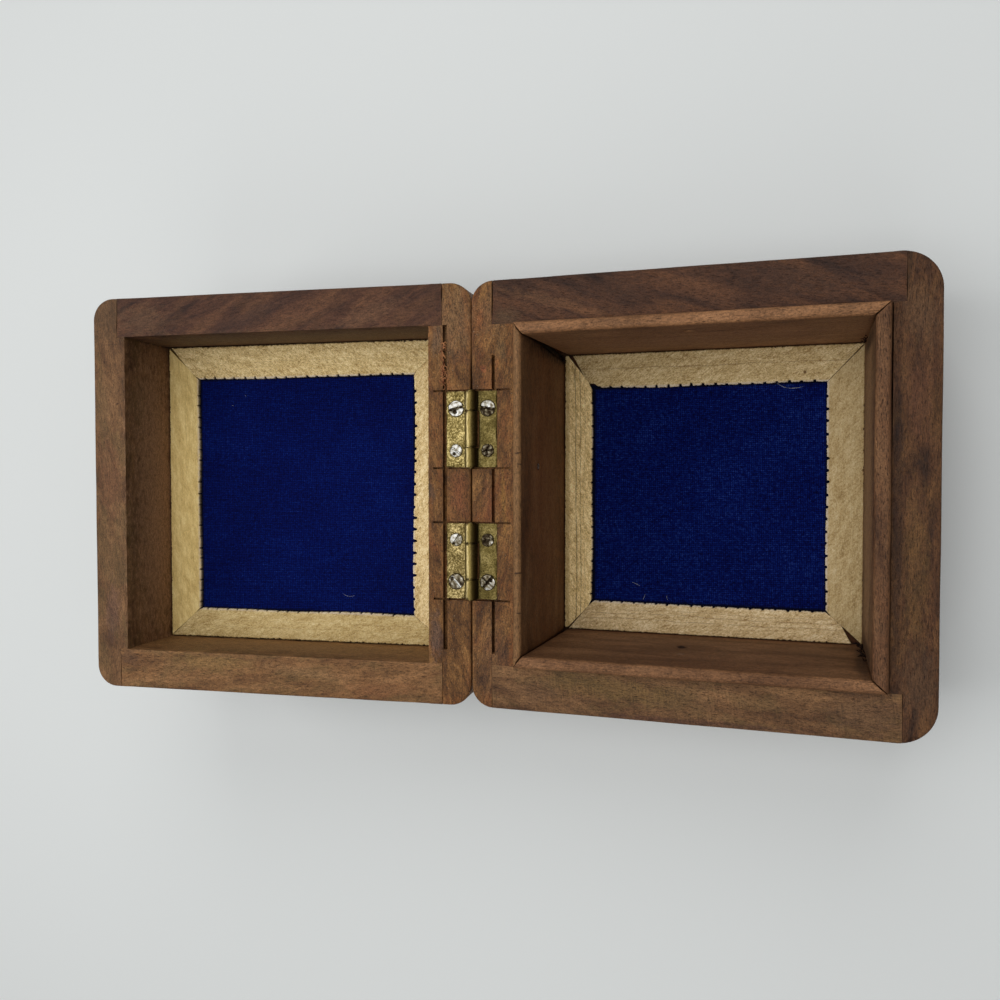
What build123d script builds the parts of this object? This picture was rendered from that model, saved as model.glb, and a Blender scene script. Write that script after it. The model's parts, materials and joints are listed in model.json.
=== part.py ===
"""Small hinged wooden trinket box, standing open with its lid laid back past the hinges.

Two square frames of rabbeted hardwood rails are glued to a bottom board and a top board. Thin mitred
strips line the base and stand above its rim, so the closed lid drops over them. A blue cloth lies on each
board under four pale border strips. Two brass butt hinges are let into the back rails.

Millimetres. Z is up and the origin is the centre of the underside. X runs from the hinges to the front,
and Y runs along the hinge line, with +Y on the right of a person who looks from the front at the back.
"""

import os
from dataclasses import dataclass
from math import ceil

from build123d import *

# Overall size
box_length = 102.0
box_width = 101.6

# Play between base and lid
back_gap = 0.5
rim_gap = 0.3
lip_clearance = 0.3
lid_tilt = 6.5

# Base frame: depth is from the rim down to the board
base_depth = 40.4
base_board = 4.6
base_back_wall = 10.8
base_front_wall = 9.5
base_side_wall = 10.4
base_back_tongue = 4.95
base_front_tongue = 6.9
base_front_corner = 8.0

# Lid frame
lid_depth = 22.0
lid_board = 4.5
lid_back_tongue = 7.0
lid_front_tongue = 7.0
lid_front_corner = 5.5

# Shared by both frames
back_corner = 5.0
shoulder_gap = 0.06
rim_ease = 0.5
base_foot_ease = 0.8
lid_top_ease = 2.0

# Liner strips in the base
lip_height = 2.5
back_liner = 2.3
front_liner = 3.4
side_liner = 2.9
liner_bullnose = 1.0
liner_mitre_gap = 0.2
front_liner_gap = 0.25

# Brads through the liners: along the strip from the box's middle, and down from the rim
back_brad = (7.0, 13.3)
front_brad = (-3.0, 10.0)
right_brad = (-1.3, 6.8)
left_brad = (-4.3, 22.2)
brad_head_radius = 0.7
brad_head_height = 0.35
brad_shank_radius = 0.4
brad_length = 8.0
brad_gouge_radius = 1.1
brad_gouge_depth = 0.6

# Cloth and its border strips
cloth_thickness = 0.6
cloth_margin = 0.3
border_thickness = 1.4
border_edge_gap = 0.15
border_mitre_gap = 0.25
notch_pitch = 2.7
notch_width = 0.5
notch_depth = 0.8
base_border_back = 7.15
base_border_front = 8.85
base_border_right = 9.3
base_border_left = 8.1
lid_border_back = 10.3
lid_border_front = 9.15
lid_border_right = 9.2
lid_border_left = 8.1

# Butt hinges
hinge_spread = 31.6
hinge_length = 18.2
hinge_reach = 6.3
leaf_thickness = 0.7
knuckle_radius = 1.5
end_knuckle = 4.7
knuckle_gap = 0.15
pin_radius = 0.7
pin_running_clearance = 0.04
pin_overhang = 0.25
mortise_clearance = 0.15
mortise_end_clearance = 0.3
barrel_clearance = 0.25

# Hinge screws: the large ones stand near the hinge's outer end and the small ones near its inner end
large_screw_end = 4.1
small_screw_end = 4.0
screw_reach = 3.9
large_head_radius = 1.95
large_shank_radius = 0.95
large_screw_length = 8.0
small_head_radius = 1.55
small_shank_radius = 0.75
small_screw_length = 6.5
head_rim = 0.15
head_proud = 0.2
slot_width = 0.5
slot_depth = 0.45
screw_point = 1.6

# Which way each slot was left standing, in degrees from X, at the +Y hinge and at the -Y hinge
base_large_slots = (-10, 48)
base_small_slots = (70, 15)
lid_large_slots = (14, -50)
lid_small_slots = (-35, 60)

# Over-run saw cuts beside the hinge mortises
kerf_depth = 1.6
lid_kerf_width = 0.8
lid_kerf_reach = 6.5
base_kerf_width = 0.6
base_kerf_reach = 5.6
cross_cut_width = 0.35
cross_cut_depth = 1.1
cross_cut_overrun = 3.4
base_kerf_right_run = 8.0
base_kerf_left_run = 12.4
lid_kerf_left_run = 12.1

# Levels and lines that the sizes above settle
base_height = base_depth + base_board
axis_x = -(box_length + back_gap) / 2
axis_z = base_height + rim_gap / 2
hinge_middles = (hinge_spread / 2, -hinge_spread / 2)
hinge_axis = Axis((axis_x, 0, axis_z), (0, 1, 0))


@dataclass
class Half:
    """One frame of the box. Its sizes run from the back face, and facing is +1 where that is along +X."""

    name: str
    facing: int
    depth: float
    board: float
    back_wall: float
    front_wall: float
    side_wall: float
    back_tongue: float
    front_tongue: float
    front_corner: float
    face_ease: float
    back_lining: float
    front_lining: float
    side_lining: float
    border_back: float
    border_front: float
    border_right: float
    border_left: float
    kerf_width: float
    kerf_reach: float

    @property
    def back_x(self):
        return axis_x + self.facing * back_gap / 2


base = Half(
    name="base", facing=1, depth=base_depth, board=base_board,
    back_wall=base_back_wall, front_wall=base_front_wall, side_wall=base_side_wall,
    back_tongue=base_back_tongue, front_tongue=base_front_tongue,
    front_corner=base_front_corner, face_ease=base_foot_ease,
    back_lining=back_liner, front_lining=front_liner + front_liner_gap, side_lining=side_liner,
    border_back=base_border_back, border_front=base_border_front,
    border_right=base_border_right, border_left=base_border_left,
    kerf_width=base_kerf_width, kerf_reach=base_kerf_reach,
)

lid = Half(
    name="lid", facing=-1, depth=lid_depth, board=lid_board,
    back_wall=base_back_wall - lip_clearance, front_wall=base_front_wall - lip_clearance,
    side_wall=base_side_wall - lip_clearance,
    back_tongue=lid_back_tongue, front_tongue=lid_front_tongue,
    front_corner=lid_front_corner, face_ease=lid_top_ease,
    back_lining=0.0, front_lining=0.0, side_lining=0.0,
    border_back=lid_border_back, border_front=lid_border_front,
    border_right=lid_border_right, border_left=lid_border_left,
    kerf_width=lid_kerf_width, kerf_reach=lid_kerf_reach,
)


def prism(half, outline, low, high):
    """Solid over an outline of (distance from the back face, y), between two heights from the rim."""
    points = [(half.back_x + half.facing * run, y) for run, y in outline]
    face = make_face(Polyline(*points, close=True))
    return Pos(0, 0, base_height + low) * extrude(face, high - low, dir=(0, 0, 1))


def block(half, runs, ys, low, high):
    """Rectangular solid given by two distances from the back face, two y and two heights from the rim."""
    (near, far), (left, right) = runs, ys
    return prism(half, [(near, left), (far, left), (far, right), (near, right)], low, high)


def along_y(radius, start, end):
    """Round bar on the hinge axis between two y."""
    return Pos(axis_x, (start + end) / 2, axis_z) * Rot(90, 0, 0) * Cylinder(radius, end - start)


def whole_form(half):
    """The half's outside as sanded after glueing up: rounded upright corners and eased edges."""
    thickness = half.depth + half.board
    form = block(half, (0, box_length), (-box_width / 2, box_width / 2), -thickness, 0)
    corners = form.edges().filter_by(Axis.Z).sort_by(Axis.X)
    if half.facing < 0:
        corners = corners[::-1]
    form = fillet(corners[:2], back_corner)
    corners = form.edges().filter_by(Axis.Z).sort_by(Axis.X)
    if half.facing > 0:
        corners = corners[::-1]
    form = fillet(corners[:2], half.front_corner)
    form = fillet(form.faces().sort_by(Axis.Z)[-1].edges(), rim_ease)
    return fillet(form.faces().sort_by(Axis.Z)[0].edges(), half.face_ease)


def frame_rails(half, form):
    """The four rails: back and front run the full width, and the sides sit in their end rabbets."""
    wide = box_width / 2
    inner = wide - half.side_wall
    low, high = -half.depth, 0
    back = block(half, (0, half.back_tongue), (-wide, wide), low, high)
    back += block(half, (0, half.back_wall), (-inner, inner), low, high)
    far = box_length
    front = block(half, (far - half.front_tongue, far), (-wide, wide), low, high)
    front += block(half, (far - half.front_wall, far), (-inner, inner), low, high)
    side_run = (half.back_tongue + shoulder_gap, far - half.front_tongue - shoulder_gap)
    right = block(half, side_run, (inner, wide), low, high)
    left = block(half, side_run, (-wide, -inner), low, high)
    return {"back_rail": form & back, "front_rail": form & front,
            "right_rail": form & right, "left_rail": form & left}


def board(half, form):
    """Full-size board glued across the rails' far edges."""
    wide = box_width / 2
    slab = block(half, (0, box_length), (-wide, wide), -half.depth - half.board, -half.depth)
    return form & slab


def well(half):
    """Inside faces of the lined half: two distances from the back face, and the right face's y."""
    near = half.back_wall + half.back_lining
    far = box_length - half.front_wall - half.front_lining
    return near, far, box_width / 2 - half.side_wall - half.side_lining


def notches(start, end, inwards):
    """Points of the small saw notches along a strip's edge from start to end, cut towards inwards."""
    span = end - start
    count = ceil(span.length / notch_pitch) - 1
    half_width = span.normalized() * (notch_width / 2)
    points = []
    for number in range(1, count + 1):
        middle = start + span * (number / (count + 1))
        points += [middle - half_width, middle + inwards * notch_depth, middle + half_width]
    return points


def mitred_outlines(outer, inner, mitre_gap, notched):
    """Outlines of four mitred strips between two rectangles, each given as near, far, left and right.

    A strip runs along its side of the outer rectangle and back along the inner one, and stops half of
    the mitre gap short of each corner.
    """
    rings = [[Vector(near, left), Vector(far, left), Vector(far, right), Vector(near, right)]
             for near, far, left, right in (outer, inner)]
    outlines = {}
    for number, side in enumerate(("left", "front", "right", "back")):
        (outer_start, outer_end), (inner_start, inner_end) = [
            (ring[number], ring[(number + 1) % 4]) for ring in rings]
        along = (outer_end - outer_start).normalized()
        outwards = Vector(along.Y, -along.X)
        short = along * (mitre_gap / 2)
        points = [outer_start + short, outer_end - short, inner_end - short]
        if notched:
            points += notches(inner_end, inner_start, outwards)
        points.append(inner_start + short)
        outlines[side] = [(point.X, point.Y) for point in points]
    return outlines


def border_strips(half):
    """Four mitred strips that hold the cloth down round the walls, notched along their inner edges."""
    near, far, wide = well(half)
    near += border_edge_gap
    far -= border_edge_gap
    wide -= border_edge_gap
    inner = (near + half.border_back, far - half.border_front,
             half.border_left - wide, wide - half.border_right)
    outlines = mitred_outlines((near, far, -wide, wide), inner, border_mitre_gap, True)
    low = cloth_thickness - half.depth
    return {f"{side}_border": prism(half, outline, low, low + border_thickness)
            for side, outline in outlines.items()}


def cloth(half):
    """Cloth glued to the board, a little short of the walls."""
    near, far, wide = well(half)
    wide -= cloth_margin
    return block(half, (near + cloth_margin, far - cloth_margin), (-wide, wide),
                 -half.depth, -half.depth + cloth_thickness)


def liner_strips():
    """Four mitred strips that line the base from its board to above the rim, with rounded top edges."""
    near, far, wide = well(base)
    outer_wide = box_width / 2 - base.side_wall
    outer = (base.back_wall, box_length - base.front_wall - front_liner_gap, -outer_wide, outer_wide)
    rounding = min(liner_bullnose, 0.45 * min(back_liner, front_liner, side_liner))
    strips = {}
    for side, outline in mitred_outlines(outer, (near, far, -wide, wide), liner_mitre_gap, False).items():
        strip = prism(base, outline, -base.depth, lip_height)
        long_edges = strip.faces().sort_by(Axis.Z)[-1].edges().sort_by(SortBy.LENGTH)[-2:]
        strips[f"{side}_liner"] = fillet(long_edges, rounding)
    return strips


def brad_places():
    """Where each brad meets its liner's inner face, turned so that +Z there runs into the wood."""
    near, far, wide = well(base)
    start = base.back_x
    middle = start + box_length / 2
    return {
        "back_liner": Pos(start + near, back_brad[0], base_height - back_brad[1]) * Rot(0, -90, 0),
        "front_liner": Pos(start + far, front_brad[0], base_height - front_brad[1]) * Rot(0, 90, 0),
        "right_liner": Pos(middle + right_brad[0], wide, base_height - right_brad[1]) * Rot(-90, 0, 0),
        "left_liner": Pos(middle + left_brad[0], -wide, base_height - left_brad[1]) * Rot(90, 0, 0),
    }


def brad():
    """One brad, driven along +Z, with its head at the bottom of the gouge that the punch leaves."""
    standing = (Align.CENTER, Align.CENTER, Align.MIN)
    head = Cylinder(brad_head_radius, brad_head_height, align=standing)
    shank = Cylinder(brad_shank_radius, brad_length, align=standing)
    return Pos(0, 0, brad_gouge_depth) * (head + shank)


def brad_gouge():
    """The dent round a brad's head: a cone that narrows to the head's own hole."""
    standing = (Align.CENTER, Align.CENTER, Align.MIN)
    return Cone(brad_gouge_radius, brad_head_radius, brad_gouge_depth, align=standing)


def knuckle_spans(middle, owner):
    """The y ranges of one leaf's knuckles: the base leaf owns the two ends and the lid leaf the middle."""
    low, high = middle - hinge_length / 2, middle + hinge_length / 2
    if owner is base:
        return [(low, low + end_knuckle), (high - end_knuckle, high)]
    return [(low + end_knuckle + knuckle_gap, high - end_knuckle - knuckle_gap)]


def hinge_leaf(half, middle):
    """One leaf: a flat plate that is let into the rail, with its knuckles rolled round the pin."""
    low = rim_gap / 2 - knuckle_radius
    high = low + leaf_thickness
    plate_start = knuckle_radius + barrel_clearance - back_gap / 2
    plate_end = hinge_reach - back_gap / 2
    ends = (middle - hinge_length / 2, middle + hinge_length / 2)
    leaf = block(half, (plate_start, plate_end), ends, low, high)
    hole_radius = pin_radius if half is base else pin_radius + pin_running_clearance
    for start, end in knuckle_spans(middle, half):
        leaf += block(half, (-back_gap / 2, plate_start), (start, end), low, high)
        leaf += along_y(knuckle_radius, start, end)
    leaf -= along_y(hole_radius, *ends)
    return leaf


def hinge_pin(middle):
    """The pin, with its ends left a little proud of the knuckles."""
    reach = hinge_length / 2 + pin_overhang
    return along_y(pin_radius, middle - reach, middle + reach)


def mortise(half, middle):
    """The pocket for a leaf, with the round relief for the barrel."""
    reach = hinge_length / 2 + mortise_end_clearance
    ends = (middle - reach, middle + reach)
    pocket = block(half, (-back_gap / 2, hinge_reach - back_gap / 2 + mortise_clearance), ends,
                   rim_gap / 2 - knuckle_radius, lip_height)
    return pocket + along_y(knuckle_radius + barrel_clearance, *ends)


def outward(middle):
    """+1 for the hinge at +Y and -1 for the other."""
    return 1 if middle > 0 else -1


def screw_places(half, large):
    """Where one half's large or small screws meet the leaf's upper face."""
    top = axis_z - knuckle_radius + leaf_thickness
    x = axis_x + half.facing * screw_reach
    places = []
    for middle in hinge_middles:
        offset = hinge_length / 2 - (large_screw_end if large else small_screw_end)
        y = middle + outward(middle) * (offset if large else -offset)
        places.append(Pos(x, y, top))
    return places


def screw_form(large, top):
    """Countersunk screw without its slot, with the leaf's face at z = 0 and its head carried up to top."""
    if large:
        head, shank, length = large_head_radius, large_shank_radius, large_screw_length
    else:
        head, shank, length = small_head_radius, small_shank_radius, small_screw_length
    rim_low = head_proud - head_rim
    cone_low = rim_low - (head - shank)
    profile = [(0, top), (head, top), (head, rim_low), (shank, cone_low),
               (shank, head_proud - length), (0, head_proud - length - screw_point)]
    return revolve(Plane.XZ * make_face(Polyline(*profile, close=True)), Axis.Z)


def screw(large, slot_angle):
    """Slotted screw whose head stands a little proud of the leaf."""
    across = 4 * (large_head_radius if large else small_head_radius)
    slot = Rot(0, 0, slot_angle) * Box(across, slot_width, slot_depth)
    return screw_form(large, head_proud) - Pos(0, 0, head_proud - slot_depth / 2) * slot


def screw_hole(large):
    """The countersink and pilot hole that a screw fills, open upwards."""
    return screw_form(large, lip_height)


def saw_kerfs(half):
    """Rough saw cuts that run past the mortises: one along the rail and a short one at each hinge end."""
    centre = half.kerf_reach - back_gap / 2
    runs = (centre - half.kerf_width / 2, centre + half.kerf_width / 2)
    inner = box_width / 2 - half.side_wall
    edge = hinge_spread / 2 + hinge_length / 2
    right_end = inner if half is lid else edge + base_kerf_right_run
    left_end = edge + (lid_kerf_left_run if half is lid else base_kerf_left_run)
    cuts = block(half, runs, (-left_end, right_end), -kerf_depth, lip_height)
    start = hinge_reach - back_gap / 2
    for middle in hinge_middles:
        for side in (-1, 1):
            y = middle + side * (hinge_length / 2 + mortise_end_clearance - cross_cut_width / 2)
            cuts += block(half, (start, start + cross_cut_overrun),
                          (y - cross_cut_width / 2, y + cross_cut_width / 2), -cross_cut_depth, lip_height)
    return cuts


def build_half(half):
    """All wooden pieces and the cloth of one half, as a dictionary of solids, with the lid still level."""
    form = whole_form(half)
    pieces = frame_rails(half, form)
    back_rail = pieces["back_rail"] - saw_kerfs(half)
    for middle in hinge_middles:
        back_rail -= mortise(half, middle)
    for large in (True, False):
        for place in screw_places(half, large):
            back_rail -= place * screw_hole(large)
    pieces["back_rail"] = back_rail
    pieces["top_board" if half is lid else "bottom_board"] = board(half, form)
    pieces["floor_cloth"] = cloth(half)
    pieces.update(border_strips(half))
    return {f"{half.name}_{name}": solid for name, solid in pieces.items()}


def raised(shape):
    """A piece of the lid turned up about the pins, from level to where the lid stands open."""
    return shape.rotate(hinge_axis, lid_tilt)


os.makedirs("parts", exist_ok=True)
nodes = build_half(base)
nodes.update({name: raised(piece) for name, piece in build_half(lid).items()})

liners = liner_strips()
rail_of = {"back_liner": "base_back_rail", "front_liner": "base_front_rail",
           "right_liner": "base_right_rail", "left_liner": "base_left_rail"}
brads = []
for name, place in brad_places().items():
    driven = place * brad()
    liners[name] = liners[name] - place * brad_gouge() - driven
    nodes[rail_of[name]] -= driven
    brads.append(driven)
nodes.update({f"base_{name}": strip for name, strip in liners.items()})
nodes["liner_brads"] = Compound(children=brads)

for side, middle in zip(("right", "left"), hinge_middles):
    for half in (base, lid):
        leaf = hinge_leaf(half, middle)
        for large in (True, False):
            for place in screw_places(half, large):
                leaf -= place * screw_hole(large)
        nodes[f"{side}_hinge_{half.name}_leaf"] = raised(leaf) if half is lid else leaf
    nodes[f"{side}_hinge_pin"] = hinge_pin(middle)

screw_sets = {
    "base_large_hinge_screws": (base, True, base_large_slots),
    "base_small_hinge_screws": (base, False, base_small_slots),
    "lid_large_hinge_screws": (lid, True, lid_large_slots),
    "lid_small_hinge_screws": (lid, False, lid_small_slots),
}
for name, (half, large, angles) in screw_sets.items():
    screws = [place * screw(large, angle) for place, angle in zip(screw_places(half, large), angles)]
    nodes[name] = Compound(children=[raised(piece) if half is lid else piece for piece in screws])

for name, shape in nodes.items():
    export_step(shape, f"parts/{name}.step")
    print(name, "volume", round(shape.volume, 1))
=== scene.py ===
"""Finishes and fine forms of a small hinged hardwood trinket box, built round its fixed frame.

Metres, in the frame's axes: X runs from the hinges to the front of the base, Y along the hinge line, Z up.
"""

import json
import math

import bmesh
import bpy
import numpy as np
from mathutils import Matrix, Vector

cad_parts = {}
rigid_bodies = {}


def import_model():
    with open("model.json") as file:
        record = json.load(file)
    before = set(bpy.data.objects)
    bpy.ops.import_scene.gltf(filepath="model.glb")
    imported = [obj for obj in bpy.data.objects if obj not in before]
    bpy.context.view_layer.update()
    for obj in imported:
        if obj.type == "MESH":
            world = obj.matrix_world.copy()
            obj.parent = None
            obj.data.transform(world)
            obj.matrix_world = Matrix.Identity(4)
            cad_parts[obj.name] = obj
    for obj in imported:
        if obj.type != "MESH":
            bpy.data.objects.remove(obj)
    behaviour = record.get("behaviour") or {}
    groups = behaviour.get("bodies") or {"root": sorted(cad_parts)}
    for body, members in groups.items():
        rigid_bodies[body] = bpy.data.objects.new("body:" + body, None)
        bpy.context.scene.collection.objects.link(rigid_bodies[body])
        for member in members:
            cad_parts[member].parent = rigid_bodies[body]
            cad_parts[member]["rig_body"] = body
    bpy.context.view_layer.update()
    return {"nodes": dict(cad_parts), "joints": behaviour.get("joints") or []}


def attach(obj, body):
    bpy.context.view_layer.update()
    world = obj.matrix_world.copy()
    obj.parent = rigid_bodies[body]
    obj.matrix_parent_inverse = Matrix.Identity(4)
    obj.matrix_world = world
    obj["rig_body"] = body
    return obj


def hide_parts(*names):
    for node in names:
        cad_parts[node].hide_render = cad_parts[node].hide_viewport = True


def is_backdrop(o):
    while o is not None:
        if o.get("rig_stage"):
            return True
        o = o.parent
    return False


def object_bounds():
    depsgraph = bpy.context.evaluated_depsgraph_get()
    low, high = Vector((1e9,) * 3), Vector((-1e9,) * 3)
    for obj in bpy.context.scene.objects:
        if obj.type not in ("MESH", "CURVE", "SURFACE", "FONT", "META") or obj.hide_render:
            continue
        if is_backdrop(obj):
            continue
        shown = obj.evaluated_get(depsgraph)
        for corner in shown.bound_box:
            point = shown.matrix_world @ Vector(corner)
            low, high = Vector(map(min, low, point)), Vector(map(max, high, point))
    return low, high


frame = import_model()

# Frame rails
# Eight lengths of dark oiled rosewood, each with its own figure, rabbeted and glued at the corners and
# sanded flush by hand. The hinge rails carry over-run saw cuts beside the hinges.
MM = 0.001
hinge = frame["joints"][0]
hinge_axis = Vector(hinge["pos_m"])
lid_tilt = -math.radians(hinge["range_deg"][0])
nodes = frame["nodes"]
deep = 1000


def paint(red, green, blue):
    """Linear colour of a finish given as it looks on a screen, 0 to 255: each share to the power 2.2."""
    return tuple((level / 255) ** 2.2 for level in (red, green, blue)) + (1.0,)


class Finish:
    """One procedural material. Its place is measured from the hinge axis, with the lid turned level."""

    def __init__(self, name, on_lid=False):
        self.material = bpy.data.materials.new(name)
        self.material.use_nodes = True
        self.tree = self.material.node_tree
        self.shader = self.tree.nodes["Principled BSDF"]
        where = self.tree.nodes.new("ShaderNodeTexCoord").outputs["Object"]
        self.place = self.add("Mapping", {"Vector": where, "Location": hinge_axis,
                                          "Rotation": (0, lid_tilt if on_lid else 0, 0)},
                              vector_type="TEXTURE").outputs[0]

    def add(self, kind, inputs, **settings):
        """A new node, with values or other nodes' outputs on its inputs."""
        made = self.tree.nodes.new("ShaderNode" + kind)
        for key, value in settings.items():
            setattr(made, key, value)
        self.feed(made, inputs)
        return made

    def feed(self, node, inputs):
        """Joins each input to another node's output, or sets its value."""
        for key, value in inputs.items():
            if isinstance(value, bpy.types.NodeSocket):
                self.tree.links.new(value, node.inputs[key])
            else:
                node.inputs[key].default_value = value

    def cells(self, size_mm, turn=0, shift=(0, 0, 0)):
        """Place divided into cells of that size along three axes, which are turned about Z by degrees."""
        return self.add("Mapping", {
            "Vector": self.place,
            "Location": [step * MM for step in shift],
            "Rotation": (0, 0, math.radians(turn)),
            "Scale": [size * MM for size in size_mm],
        }, vector_type="TEXTURE").outputs[0]

    def noise(self, size_mm, turn=0, shift=(0, 0, 0), detail=2.0, rough=0.5, twist=0.0):
        """Soft random value, about 0.3 to 0.7, whose blots have that size."""
        inputs = {"Vector": self.cells(size_mm, turn, shift), "Scale": 1.0, "Detail": detail}
        return self.add("TexNoise", {**inputs, "Roughness": rough, "Distortion": twist}).outputs[0]

    def span(self, value, low, high, to_low=0.0, to_high=1.0, smooth=False):
        """Value carried from one range to another, and held at its ends."""
        inputs = {"Value": value, "From Min": low, "From Max": high, "To Min": to_low, "To Max": to_high}
        kind = "SMOOTHSTEP" if smooth else "LINEAR"
        return self.add("MapRange", inputs, interpolation_type=kind, clamp=True).outputs[0]

    def sums(self, operation, *values):
        """Arithmetic on one, two or three values."""
        return self.add("Math", dict(enumerate(values)), operation=operation).outputs[0]

    def plus(self, first, second):
        return self.sums("ADD", first, second)

    def times(self, first, second):
        return self.sums("MULTIPLY", first, second)

    def vectors(self, operation, *values):
        """Arithmetic on vectors. A length comes out as one value."""
        made = self.add("VectorMath", dict(enumerate(values)), operation=operation)
        return made.outputs["Value" if operation == "LENGTH" else 0]

    def axes(self, vector):
        """The vector's three parts."""
        return self.add("SeparateXYZ", {0: vector}).outputs

    def ramp(self, value, *stops):
        """Colour that passes through (position, colour) stops."""
        made = self.add("ValToRGB", {"Fac": value})
        band = made.color_ramp
        while len(band.elements) < len(stops):
            band.elements.new(0.5)
        for element, (position, colour) in zip(band.elements, stops):
            element.position = position
            element.color = colour
        return made.outputs[0]

    def mix(self, share, first, second, mode="MIX"):
        """Two colours mixed by a share, or laid over one another."""
        return self.add("Mix", {0: share, 6: first, 7: second}, data_type="RGBA", blend_type=mode).outputs[2]

    def depth_in(self, low, high):
        """How far the place lies within the box from low to high, as a vector of three depths."""
        middle, half = (low + high) / 2, (high - low) / 2
        off = self.vectors("ABSOLUTE", self.vectors("SUBTRACT", self.place, middle))
        return self.vectors("SUBTRACT", half, off)

    def arris(self, low, high, width_mm):
        """1 on the edges of the box from low to high, in level places, and 0 some way off them."""
        depths = self.axes(self.depth_in(low, high))
        near = [self.span(depth, 0.0, width_mm * MM, 1.0, 0.0, smooth=True) for depth in depths]
        pairs = [self.times(near[a], near[b]) for a, b in ((0, 1), (1, 2), (2, 0))]
        return self.sums("MAXIMUM", self.sums("MAXIMUM", pairs[0], pairs[1]), pairs[2])

    def bump(self, height, depth_mm):
        """Surface shaken by a height from 0 to 1 that stands for that depth."""
        return self.add("Bump", {"Height": height, "Distance": depth_mm * MM, "Strength": 1.0}).outputs[0]

    def finish(self, **inputs):
        """Joins the results to the shader, with underscores for the spaces in its sockets' names."""
        self.feed(self.shader, {key.replace("_", " "): value for key, value in inputs.items()})
        return self.material


def read(items, label, width=3, kind=float):
    """Values of that name from the items of a mesh, in rows of that width."""
    values = np.zeros(len(items) * width, kind)
    items.foreach_get(label, values)
    return values.reshape(-1, width)


def level_points(name):
    """Points of a CAD node measured from the hinge axis, with the lid turned level."""
    points = read(nodes[name].data.vertices, "co") - np.array(hinge_axis)
    if nodes[name]["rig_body"] == "lid":
        points = points @ np.array(Matrix.Rotation(lid_tilt, 3, "Y"))
    return points


def level_box(name):
    """Lowest and highest corner of the box round those points."""
    points = level_points(name)
    return Vector(points.min(0)), Vector(points.max(0))


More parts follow.
